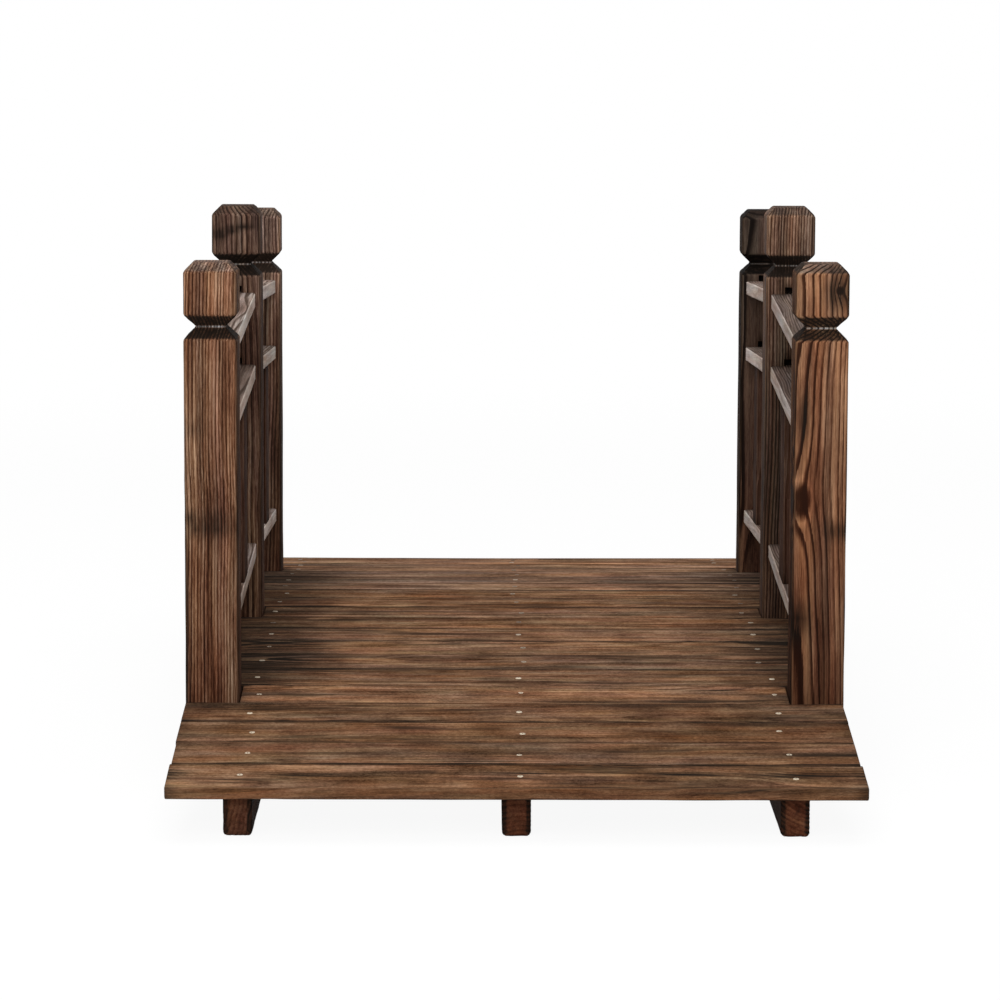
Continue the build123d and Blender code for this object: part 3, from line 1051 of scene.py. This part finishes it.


# The long burns on every face of the middle and rear posts are painted shade on their lower shafts.
POST_WOODS = {
    "post_left_front": Wood(
        11, pith=(-0.075, 0.004), lean=(0.005, 0.0), ring=0.0031, tint=(0.8, 0.38, 0.0),
        fade=(1.0, 0.05, 0.0), cap_burn=0.15, scorches=on_front(
            (0.252, -0.02, 0.009, 0.009, 0.75), (0.243, -0.015, 0.008, 0.01, 0.7),
            (0.258, -0.008, 0.006, 0.013, 0.7), (0.246, 0.002, 0.018, 0.028, 0.72),
            (0.27, 0.0, 0.09, 0.03, 0.32), (0.345, -0.017, 0.012, 0.016, 0.45),
            (0.12, -0.026, 0.16, 0.006, 0.6), (0.483, 0.0, 0.024, 0.045, -0.4),
            (0.325, -0.014, 0.03, 0.013, -0.3), (0.22, 0.014, 0.026, 0.004, -0.45))),
    "post_right_front": Wood(
        12, pith=(-0.026, 0.014), lean=(0.0, 0.004), ring=0.0035, tint=(0.38, 0.65, 0.0),
        fade=(1.22, 0.1, 0.0), figured=True, knots=((0.272, -1.39, 0.0105), (0.486, -0.77, 0.0026)),
        scorches=on_front(
            (0.151, -0.02, 0.022, 0.013, 0.95), (0.357, -0.018, 0.034, 0.007, 0.85),
            (0.242, 0.018, 0.013, 0.02, 0.65), (0.485, 0.016, 0.024, 0.02, 0.85),
            (0.488, -0.012, 0.018, 0.012, -0.25))),
    "post_left_middle": Wood(
        13, pith=(0.05, 0.02), lean=(-0.01, 0.0), ring=0.0034, tint=(0.55, 0.5, 0.1),
        fade=(0.95, 0.2, 0.5), inner_burn_and_shade=0.1, scorches=on_front(
            (0.481, -0.018, 0.008, 0.012, 0.9), (0.486, -0.006, 0.006, 0.012, 0.9),
            (0.49, 0.008, 0.005, 0.015, 0.85)) + painted_shade_all_round(0.26, 0.19, 0.5)),
    "post_right_middle": Wood(
        14, pith=(-0.07, -0.01), lean=(0.01, 0.0), ring=0.0032, tint=(0.38, 0.35, 0.25),
        fade=(1.15, 0.1, 0.35), inner_burn_and_shade=-0.25, scorches=painted_shade_all_round(0.24, 0.2, 0.9)),
    "post_left_rear": Wood(
        15, pith=(-0.06, 0.01), lean=(0.01, 0.0), ring=0.0036, tint=(0.36, 0.5, 0.0),
        fade=(2.2, 0.0, 0.55), inner_burn_and_shade=0.2, scorches=painted_shade_all_round(0.22, 0.2, 0.72)),
    "post_right_rear": Wood(
        16, pith=(-0.004, 0.012), lean=(0.0, 0.02), ring=0.005, tint=(0.5, 0.3, 0.1),
        fade=(0.38, 0.1, 0.6), inner_burn_and_shade=0.2, figured=True, scorches=painted_shade_all_round(0.3, 0.3, 0.42)),
}


def burn_post(stick, wood, joinery, foot, top, groove, inward):
    """Soots a post's groove, cap and edges, darkens its inner face with char and painted shade, darkens its
    foot, and leaves a grey line at its neck.
    """
    height = stick.along + foot
    groove_low, groove_top = groove
    in_groove = smooth_step(height, groove_low - 0.001, groove_low + 0.002)
    in_groove = in_groove * (1 - smooth_step(height, groove_top - 0.002, groove_top + 0.001))
    at_neck = hump(height - groove_top + joinery.groove_depth + joinery.groove_neck / 2, 0.0011)
    shoulder = top - joinery.cap_chamfer
    chamfer = smooth_step(height, shoulder - 0.001, shoulder + 0.002)
    char = 0.9 * in_groove * (1 - at_neck) + wood.cap_burn * chamfer + 0.3 * stick.edge + stick.scorch
    stick.tint[:, 2] = np.maximum(stick.tint[:, 2], np.maximum(1.2 * at_neck, 0.5 * chamfer))
    stick.tint[:, 0] *= 1 + 0.9 * at_neck + 0.3 * chamfer
    inner = stick.out_a * inward
    # The face toward the walkway darkens: partly char, partly painted shade.
    char = char + wood.inner_burn_and_shade * facing(inner) + 0.2 * facing(-inner)
    # Darker within about a centimetre of the foot.
    stick.char = np.clip(char + 0.5 * np.exp(-(stick.along / 0.01)), 0, 1)


def build_posts(settings):
    """Six posts with grooved caps and a slot for each rail's tenon."""
    joinery, timber = settings.joinery, settings.timber
    darks = shades(timber.tan, timber.umber, timber.soot, timber.soot)
    shared = {"bands": 0.4, "hue": 0.6, "worn": 0.5, "rough": 0.7, "specular": 0.04}
    striped = timber_finish("post_fir_striped", Recipe(
        tuple(timber.straw), *darks, middle=0.54, rings=0.32, streak=0.9, fibre=1.1, hair=1.0, **shared))
    figured = timber_finish("post_fir_figured", Recipe(
        from_screen(166, 127, 96), *darks, rings=0.5, ring_start=0.5, wide=0.8, streak=0.5, **shared))
    slot_half = joinery.tenon_width / 2 + joinery.mortise_clear
    for number, (node, wood) in enumerate(POST_WOODS.items()):
        low, high = box_of(node)
        half = (high[0] - low[0]) / 2
        middle = (low + high) / 2
        foot, top = low[2], high[2]
        slots = post_slots(node, joinery)
        extra = [station + foot for station in knot_rows(wood)]
        extra += [z for _, *ends in slots for z in ends]
        rows, inset, radius, groove = post_profile(foot, top, joinery, timber.row_step, extra)
        core = half - joinery.post_round
        flat = int(round((core - slot_half) / timber.column_step))
        beside = slot_half / core
        spots = np.concatenate([np.linspace(-1, -beside, flat + 1),
                                np.linspace(-beside, beside, SLOT_SPOTS)[1:-1],
                                np.linspace(beside, 1, flat + 1)])
        stick = Stick(rows, half - inset, half - inset, radius, spots,
                      columns(2 * half, timber.column_step))
        stick.along = stick.along - foot
        stick.grow(wood, timber.brush_depth * POST_BRUSH, grain_start("posts", number))
        burn_post(stick, wood, joinery, foot, top, groove, np.sign(-middle[0]))

        def place(along, a, b, middle=middle, foot=foot):
            return middle[0] + a, middle[1] + b, along + foot

        finish = figured if wood.figured else striped
        piece = make_piece(node + "_wood", [stick], [place], finish, [node])
        cut_slots(piece, slots, middle, half, slot_half, joinery)


def post_slots(node, joinery):
    """(side of the post, seat, head) of each mortise that a post needs."""
    low, high = box_of(node)
    side = node.split("_")[1]
    found = []
    for name in nodes_named("rail_"):
        if f"_{side}_" not in name:
            continue
        rail_low, rail_high, _ = rail_frame(name, joinery)
        for toward, face in ((-1, low[1]), (1, high[1])):
            if rail_low[1] - TOUCH < face < rail_high[1] + TOUCH:
                tip = face - toward * joinery.tenon_length
                tops = [rail_top(name, joinery, y) for y in (face, tip)]
                found.append((toward, min(tops) - joinery.rail_thick, max(tops) + joinery.mortise_rise))
    return found


def cut_slots(piece, slots, middle, half, slot_half, joinery):
    """Sinks each mortise into the face of a post and blackens it."""
    depth = joinery.tenon_length + joinery.mortise_clear
    work = bmesh.new()
    work.from_mesh(piece.data)
    char = work.verts.layers.float["char"]
    for toward, seat, head in slots:
        chosen = []
        for face in work.faces:
            at = face.calc_center_median()
            in_slot = seat < at.z < head and abs(at.x - middle[0]) < slot_half
            if in_slot and (at.y - middle[1]) * toward > half - SKIN:
                chosen.append(face)
        grown = bmesh.ops.extrude_face_region(work, geom=chosen)["geom"]
        moved = [part for part in grown if isinstance(part, bmesh.types.BMVert)]
        bmesh.ops.delete(work, geom=chosen, context="FACES")
        for vert in moved:
            vert.co.y -= toward * depth
            vert[char] = 1.0
    bmesh.ops.recalc_face_normals(work, faces=work.faces)
    # The slots' walls come out in another order on each run, so all faces go by their points.
    work.verts.index_update()
    in_order = sorted(work.faces, key=lambda face: [vert.index for vert in face.verts])
    for number, face in enumerate(in_order):
        face.index = number
    work.faces.sort()
    work.to_mesh(piece.data)
    work.free()


RAIL_SEED = 600
RAIL_BRUSH = 0.8
RAIL_LIFTS = {"left_front": 1.12, "right_front": 0.95, "left_rear": 1.12, "right_rear": 1.24}
RAIL_TOP_LIFTS = {"left": 0.2, "right": -0.16}
# A stub tenon's edges, tip and play, and the sliver between it and the rail's shoulder.
TENON_ROUND = 0.0006
TENON_TAPER = 0.0008
TENON_TIP = 0.001
TENON_PLAY = 0.0003
SHOULDER_SLIVER = 0.00005


def rail_wood(number, bay):
    """A seeded cut for one pale sawn rail."""
    chance = np.random.default_rng(RAIL_SEED + number)
    tint = (chance.uniform(0.95, 1.05) * RAIL_LIFTS[bay], 0.0, 0.0)
    pith = (chance.uniform(-0.05, 0.05), chance.uniform(0.02, 0.06))
    lean = (chance.uniform(-0.03, 0.03), 0.0)
    return Wood(RAIL_SEED + number, pith=pith, lean=lean, wander=0.003,
                ring=chance.uniform(0.0026, 0.0036), tint=tint, fade=tint)


def build_rails(settings):
    """Twelve flat rails, climbing to the middle posts, with stub tenons."""
    joinery, timber = settings.joinery, settings.timber
    black = from_screen(58, 46, 39)
    finish = timber_finish("rail_fir", Recipe(
        *shades(timber.sawn_light, timber.sawn_grey, timber.sawn_dark, black, black), rings=0.05, wide=0.3,
        streak=0.5, fibre=0.6, hair=0.6, bands=0.2, worn=0.2, rough=0.8))
    thick, tenon = joinery.rail_thick, joinery.tenon_length
    step = timber.column_step * 1.2
    for number, node in enumerate(nodes_named("rail_")):
        low, high, slope = rail_frame(node, joinery)
        _, _, side, end = node.split("_")
        wood = rail_wood(number, f"{side}_{end}")
        first, last = low[1], high[1]
        body_first, body_last = first + tenon, last - tenon
        body = end_rows(body_first, body_last, timber.row_step, joinery.end_round * 0.5, knot_rows(wood))
        rows = np.concatenate([
            [first, first + TENON_TIP, first + tenon / 2, body_first - SHOULDER_SLIVER], body,
            [body_last + SHOULDER_SLIVER, last - tenon / 2, last - TENON_TIP, last]])
        in_body = (rows >= body_first - 1e-7) & (rows <= body_last + 1e-7)
        taper = TENON_TAPER * (np.minimum(rows - first, last - rows) < TENON_TIP / 2)
        half_wide = np.where(in_body, (high[0] - low[0]) / 2, joinery.tenon_width / 2 - taper)
        half_high = np.where(in_body, thick / 2, thick / 2 - TENON_PLAY - taper)
        stick = Stick(rows, half_high, half_wide, np.where(in_body, joinery.stick_round, TENON_ROUND),
                      columns(thick, step), columns(high[0] - low[0], step))
        stick.grow(wood, timber.brush_depth * RAIL_BRUSH, grain_start("rails", number))
        gap = np.minimum(stick.along - body_first, body_last - stick.along)
        char = 0.2 * np.exp(-np.maximum(gap, 0) / 0.01) + 0.12 * stick.edge + stick.scorch
        char = np.clip(char + 0.72 * facing(np.abs(stick.out_a)), 0, 1)
        stick.char = np.where(gap < 0, 0.8, char)
        on_top = facing(stick.out_a)
        stick.tint[:, 1] += 0.38 * on_top
        stick.tint[:, 0] *= 1 + on_top * RAIL_TOP_LIFTS[side]
        middle = (low + high) / 2

        def place(along, a, b, middle=middle, slope=slope):
            return middle[0] + b, along, middle[2] + slope * (along - middle[1]) + a

        make_piece(node + "_wood", [stick], [place], finish, [node])


BALUSTER_SEED = 60


def build_balusters(settings):
    """One upright in each bay, cut to the slope of the rails."""
    joinery, timber = settings.joinery, settings.timber
    # The balusters' colours are darker than the posts' as painted shade of the recessed bays between the
    # posts and under the rails.
    light, body = from_screen(120, 92, 76), from_screen(78, 55, 44)
    finish = timber_finish("baluster_fir", Recipe(
        *shades(light, body, timber.umber, timber.soot, timber.soot), middle=0.5, worn=0.9))
    step = timber.column_step * 1.2
    for side_number, side in enumerate(("left", "right")):
        node = f"balusters_{side}"
        points = node_points(node)
        sticks, places = [], []
        for end_number, (end, toward) in enumerate((("front", -1), ("rear", 1))):
            number = 2 * side_number + end_number
            corners = points[points[:, 1] * toward > 0]
            low, high = corners.min(0), corners.max(0)
            middle = (low + high) / 2
            half = (high - low) / 2
            slope = rail_frame(f"rail_low_{side}_{end}", joinery)[2]
            reach = half[2] - abs(slope) * half[1]
            # A tint lift below 1: more painted shade of the recessed bays.
            wood = Wood(BALUSTER_SEED + number, pith=(0.03 - 0.02 * toward, 0.05), lean=(0.02, 0.0),
                        ring=0.0036, tint=(0.72, 0.3, 0.1), fade=(0.8, 0.25, 0.1))
            rows = end_rows(-reach, reach, timber.row_step, joinery.end_round * 0.5)
            stick = Stick(rows, half[0], half[1], joinery.stick_round, columns(2 * half[0], step),
                          columns(2 * half[1], step))
            stick.grow(wood, timber.brush_depth, grain_start("balusters", number))
            stick.char = np.clip(stick.sooty_ends(0.4, 0.012) + 0.12, 0, 1)

            def place(along, a, b, middle=middle, slope=slope):
                return middle[0] + a, middle[1] + b, middle[2] + along + slope * b

            sticks.append(stick)
            places.append(place)
        make_piece(node + "_wood", sticks, places, finish, [node])


def steel_finish():
    """Dull zinc on the screw heads, darker in the cross."""
    material = bpy.data.materials.new("zinc_steel")
    mix = Finish(material)
    place = mix.add("ShaderNodeTexCoord", out="Object")
    speck = mix.noise(place, 3.0, scale=900.0)
    patch = mix.noise(place, 2.0, scale=160.0)
    recess, stain = mix.attribute("recess"), mix.attribute("stain")
    bright, dull = from_screen(206, 192, 170), from_screen(160, 144, 122)
    colour = mix.blend(mix.step(patch, 0.4, 0.7) * 0.6, bright, dull)
    colour = mix.blend(stain, colour, from_screen(72, 56, 44))
    colour = mix.blend(recess * 0.85, colour, from_screen(60, 50, 42))
    rough = 0.34 + speck * 0.25 + recess * 0.2
    mix.surface(colour, rough, speck, bump=0.25, reach=0.0002, specular=0.1, metallic=0.2)
    return material


HEAD_CELLS = 18
HEAD_SINK = 0.0003
SHANK_SHARE = 0.6
SHANK_LENGTH = 0.004
# The dome and its cross, as shares of the head's radius and of the dome's height.
DOME_POWER = 2.4
CROSS_WALL = (0.09, 0.17)
CROSS_END = (0.5, 0.62)
CROSS_DEPTH = 1.1
HEAD_RIM = (0.94, 1.0)


def screw_head(width, dome, turn):
    """Points, faces and recess share of one domed countersunk head with a cross recess."""
    radius = width / 2
    ticks = np.linspace(-1, 1, HEAD_CELLS + 1)
    s, t = (grid.ravel() for grid in np.meshgrid(ticks, ticks, indexing="ij"))
    disc = np.maximum(np.abs(s), np.abs(t)) / np.maximum(np.hypot(s, t), 1e-9)
    x, y = s * disc, t * disc
    gap = np.hypot(x, y)
    cross = np.minimum(np.abs(x), np.abs(y))
    recess = (1 - smooth_step(cross, *CROSS_WALL)) * (1 - smooth_step(gap, *CROSS_END))
    z = dome * (1 - gap ** DOME_POWER) - HEAD_SINK * smooth_step(gap, *HEAD_RIM)
    z = z - recess * dome * CROSS_DEPTH
    top = np.stack([radius * (x * math.cos(turn) - y * math.sin(turn)),
                    radius * (x * math.sin(turn) + y * math.cos(turn)), z], 1)
    index = np.arange((HEAD_CELLS + 1) ** 2).reshape(HEAD_CELLS + 1, HEAD_CELLS + 1)
    faces = np.stack([index[:-1, :-1], index[1:, :-1], index[1:, 1:], index[:-1, 1:]], -1).reshape(-1, 4)
    rim = np.concatenate([index[:-1, 0], index[-1, :-1], index[:0:-1, -1], index[0, :0:-1]])
    shank = top[rim] * np.array([SHANK_SHARE, SHANK_SHARE, 0.0]) - np.array([0.0, 0.0, SHANK_LENGTH])
    low = len(top) + np.arange(len(rim))
    after = np.roll(np.arange(len(rim)), -1)
    sides = np.stack([rim, low, low[after], rim[after]], -1)
    loops = [*faces.tolist(), *sides.tolist(), list(low[::-1])]
    return np.vstack([top, shank]), loops, np.concatenate([recess, np.zeros(len(rim))])


def steel_piece(name, heads, finish):
    """Several heads, each set on a place and a direction, as one piece."""
    points, faces, recess, stain, start = [], [], [], [], 0
    for (local, loops, share), place, normal, dull in heads:
        turn = np.array(Vector((0, 0, 1)).rotation_difference(Vector(normal)).to_matrix())
        points.append(local @ turn.T + np.array(place))
        faces += [[corner + start for corner in loop] for loop in loops]
        recess.append(share)
        stain.append(np.full(len(local), dull))
        start += len(local)
    mesh = bpy.data.meshes.new(name)
    mesh.from_pydata(np.vstack(points).tolist(), [], faces)
    add_field(mesh, "recess", np.concatenate(recess))
    add_field(mesh, "stain", np.concatenate(stain))
    piece = link_mesh(name, mesh, finish)
    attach(piece, BODY)


SCREW_SEED = 70
# The middle row of screws, how far a screw strays, and how far from the front they stay bright.
CENTRE_ROW = 0.006
STRAY_ALONG = 0.005
STRAY_ACROSS = 0.006
BRIGHT_UNTIL = -0.3
HEAD_IN_WOOD = 0.0004
NAIL_UP = 0.2
NAIL_ASIDE = 0.009
NAIL_IN_WOOD = 0.0006
NAIL_TURN = 0.4
NAIL_STAIN = 0.2


def build_screws(settings):
    """A screw through each board into each stringer, and a nail in two of the end posts."""
    joinery = settings.joinery
    finish = steel_finish()
    outer = joinery.screw_row
    rows = {"screws_left": -outer, "screws_centre": CENTRE_ROW, "screws_right": outer}
    for number, (name, row_x) in enumerate(rows.items()):
        chance = np.random.default_rng(SCREW_SEED + number)
        heads = []
        for node in nodes_named("deck_board"):
            across, normal = board_axes(node)
            corners = node_points(node)
            height = corners @ np.array(normal)
            face = corners[height > height.max() - 0.0004]
            centre = (face.min(0) + face.max(0)) / 2
            stray = chance.uniform(-STRAY_ALONG, STRAY_ALONG)
            at = np.array((row_x + stray, centre[1], centre[2]))
            at = at + np.array(across) * chance.uniform(-STRAY_ACROSS, STRAY_ACROSS)
            at = at - np.array(normal) * HEAD_IN_WOOD
            dull = chance.uniform(0.0, 0.2) if centre[1] < BRIGHT_UNTIL else chance.uniform(0.45, 1.0)
            head = screw_head(joinery.screw_head, joinery.screw_dome, chance.uniform(0, math.pi))
            heads.append((head, at, normal, dull))
        steel_piece(name, heads, finish)
    nails = []
    for node, toward in (("post_left_front", -1), ("post_right_rear", 1)):
        low, high = box_of(node)
        face = low[1] if toward < 0 else high[1]
        at = ((low[0] + high[0]) / 2 - toward * NAIL_ASIDE, face - toward * NAIL_IN_WOOD, low[2] + NAIL_UP)
        head = screw_head(joinery.nail_head, joinery.screw_dome, NAIL_TURN)
        nails.append((head, at, (0.0, toward, 0.0), NAIL_STAIN))
    steel_piece("post_nails", nails, finish)


WHITE = (1.0, 1.0, 1.0)
# The floor in metres, and how much of the shadow it shows from near the bridge to where it is all white.
FLOOR_REACH = 6.0
FLOOR_SIDES = 64
FLOOR_DROP = 0.0002
FLOOR_SHADE = 0.07
SHADOW_NEAR = 1.4
SHADOW_FAR = 3.6
SENSOR_WIDTH = 36.0
VIEW_REACH = 50.0


def light_room(scene, stage):
    """A white room that gives even light, and two soft lamps."""
    scene.world = bpy.data.worlds.new("white_room")
    room = Finish(scene.world)
    level = room.looked_at() * (1.0 - stage.room_light) + stage.room_light
    light = room.add("ShaderNodeBackground", sockets={"Color": WHITE, "Strength": level})
    room.add("ShaderNodeOutputWorld", sockets={"Surface": light})
    for name, place, target, size, power in (
            ("front_lamp", (-0.5, -4.6, 3.0), (0, 0, 0.25), 3.2, stage.front_lamp),
            ("top_lamp", (0.0, 0.0, 3.4), (0, 0, 0.1), 3.0, stage.top_lamp)):
        lamp = bpy.data.lights.new(name, "AREA")
        lamp.size = size
        lamp.energy = power
        holder = bpy.data.objects.new(name, lamp)
        holder.location = place
        holder.rotation_euler = (Vector(target) - Vector(place)).to_track_quat("-Z", "Y").to_euler()
        scene.collection.objects.link(holder)


def floor_finish(stage):
    """Pale floor that looks white, keeps a soft shadow near the bridge and is clear from below."""
    material = bpy.data.materials.new("pale_floor")
    mix = Finish(material)
    x, y, _ = mix.parts(mix.add("ShaderNodeTexCoord", out="Object"))
    far = mix.step(mix.math("SQRT", x * x + y * y), SHADOW_NEAR, SHADOW_FAR)
    pale = mix.add("ShaderNodeBsdfDiffuse", sockets={"Color": (stage.floor_white,) * 3})
    white = mix.add("ShaderNodeEmission", sockets={"Color": WHITE, "Strength": 1.0})
    share = mix.looked_at() * (far * FLOOR_SHADE + (1 - FLOOR_SHADE))
    floor = mix.add("ShaderNodeMixShader", sockets={0: share, 1: pale, 2: white})
    below = mix.add("ShaderNodeNewGeometry", out="Backfacing")
    clear = mix.add("ShaderNodeBsdfTransparent")
    floor = mix.add("ShaderNodeMixShader", sockets={0: below, 1: floor, 2: clear})
    mix.add("ShaderNodeOutputMaterial", sockets={"Surface": floor})
    return material


def lay_floor(scene, stage):
    """A round floor just under the bridge's feet."""
    mesh = bpy.data.meshes.new("floor")
    turns = np.linspace(0, 2 * math.pi, FLOOR_SIDES, endpoint=False)
    rim = [(FLOOR_REACH * math.cos(turn), FLOOR_REACH * math.sin(turn), 0.0) for turn in turns]
    mesh.from_pydata(rim, [], [list(range(FLOOR_SIDES))])
    mesh.materials.append(floor_finish(stage))
    floor = bpy.data.objects.new("floor", mesh)
    floor.location.z = -FLOOR_DROP
    scene.collection.objects.link(floor)


def stand_camera(scene, stage):
    """The camera, turned from level by its three angles."""
    camera = bpy.data.cameras.new("camera")
    camera.lens = stage.lens
    camera.sensor_width = SENSOR_WIDTH
    camera.clip_end = VIEW_REACH
    holder = bpy.data.objects.new("camera", camera)
    down, right, roll = stage.camera_down, stage.camera_right, stage.camera_roll
    ahead = Vector((math.sin(right) * math.cos(down), math.cos(right) * math.cos(down), -math.sin(down)))
    level_right = Vector((math.cos(right), -math.sin(right), 0.0))
    lower = ahead.cross(level_right)
    image_right = level_right * math.cos(roll) + lower * math.sin(roll)
    image_down = lower * math.cos(roll) - level_right * math.sin(roll)
    turn = Matrix((image_right, -image_down, -ahead)).transposed()
    holder.matrix_world = Matrix.Translation(Vector(stage.camera_place)) @ turn.to_4x4()
    scene.collection.objects.link(holder)
    scene.camera = holder


def build_stage(settings):
    """White room, soft lamps, pale floor and the camera."""
    scene = bpy.context.scene
    scene.view_settings.view_transform = "Standard"
    light_room(scene, settings.stage)
    lay_floor(scene, settings.stage)
    stand_camera(scene, settings.stage)


class FootbridgeSettings(bpy.types.PropertyGroup):
    """Everything a user would change on the bridge and its stage."""

    joinery: bpy.props.PointerProperty(name="Joinery", description="Sizes of the joinery",
                                       type=FootbridgeJoinery)
    timber: bpy.props.PointerProperty(name="Timber", description="Finish of the wood",
                                      type=FootbridgeTimber)
    stage: bpy.props.PointerProperty(name="Stage", description="Camera, lamps and floor",
                                     type=FootbridgeStage)


class FOOTBRIDGE_OT_stage(bpy.types.Operator):
    """Set up the floor, the lamps and the camera"""

    bl_idname = "footbridge.stage"
    bl_label = "Stage"

    def execute(self, context):
        build_stage(context.scene.footbridge)
        return {"FINISHED"}


class FOOTBRIDGE_OT_stringers(bpy.types.Operator):
    """Set the three arched stringers"""

    bl_idname = "footbridge.stringers"
    bl_label = "Stringers"

    def execute(self, context):
        build_stringers(context.scene.footbridge)
        return {"FINISHED"}


class FOOTBRIDGE_OT_deck(bpy.types.Operator):
    """Lay the deck boards over the arch"""

    bl_idname = "footbridge.deck"
    bl_label = "Deck boards"

    def execute(self, context):
        build_deck(context.scene.footbridge)
        return {"FINISHED"}


class FOOTBRIDGE_OT_posts(bpy.types.Operator):
    """Stand the six grooved posts"""

    bl_idname = "footbridge.posts"
    bl_label = "Posts"

    def execute(self, context):
        build_posts(context.scene.footbridge)
        return {"FINISHED"}


class FOOTBRIDGE_OT_rails(bpy.types.Operator):
    """Fit the twelve sloping rails"""

    bl_idname = "footbridge.rails"
    bl_label = "Rails"

    def execute(self, context):
        build_rails(context.scene.footbridge)
        return {"FINISHED"}


class FOOTBRIDGE_OT_balusters(bpy.types.Operator):
    """Stand a baluster in each bay"""

    bl_idname = "footbridge.balusters"
    bl_label = "Balusters"

    def execute(self, context):
        build_balusters(context.scene.footbridge)
        return {"FINISHED"}


class FOOTBRIDGE_OT_screws(bpy.types.Operator):
    """Drive the deck screws and the posts' nails"""

    bl_idname = "footbridge.screws"
    bl_label = "Screws and nails"

    def execute(self, context):
        build_screws(context.scene.footbridge)
        return {"FINISHED"}


STEPS = (FOOTBRIDGE_OT_stage, FOOTBRIDGE_OT_stringers, FOOTBRIDGE_OT_deck, FOOTBRIDGE_OT_posts,
         FOOTBRIDGE_OT_rails, FOOTBRIDGE_OT_balusters, FOOTBRIDGE_OT_screws)


class FOOTBRIDGE_PT_sidebar(bpy.types.Panel):
    """The bridge's steps and settings"""

    bl_idname = "FOOTBRIDGE_PT_sidebar"
    bl_label = "Footbridge"
    bl_space_type = "VIEW_3D"
    bl_region_type = "UI"
    bl_category = "Footbridge"

    def draw(self, context):
        for step in STEPS:
            self.layout.operator(step.bl_idname)
        settings = context.scene.footbridge
        for group in (settings.joinery, settings.timber, settings.stage):
            box = self.layout.box()
            for name in group.__annotations__:
                box.prop(group, name)


CLASSES = (FootbridgeJoinery, FootbridgeTimber, FootbridgeStage, FootbridgeSettings, *STEPS,
           FOOTBRIDGE_PT_sidebar)


def register():
    """Adds the settings, steps and panel to Blender."""
    for each in CLASSES:
        bpy.utils.register_class(each)
    bpy.types.Scene.footbridge = bpy.props.PointerProperty(type=FootbridgeSettings)


def unregister():
    """Takes them away again."""
    del bpy.types.Scene.footbridge
    for each in reversed(CLASSES):
        bpy.utils.unregister_class(each)


def main():
    """Builds the stage and every piece in order."""
    register()
    bpy.ops.footbridge.stage()
    bpy.ops.footbridge.stringers()
    bpy.ops.footbridge.deck()
    bpy.ops.footbridge.posts()
    bpy.ops.footbridge.rails()
    bpy.ops.footbridge.balusters()
    bpy.ops.footbridge.screws()


if __name__ == "__main__":
    main()
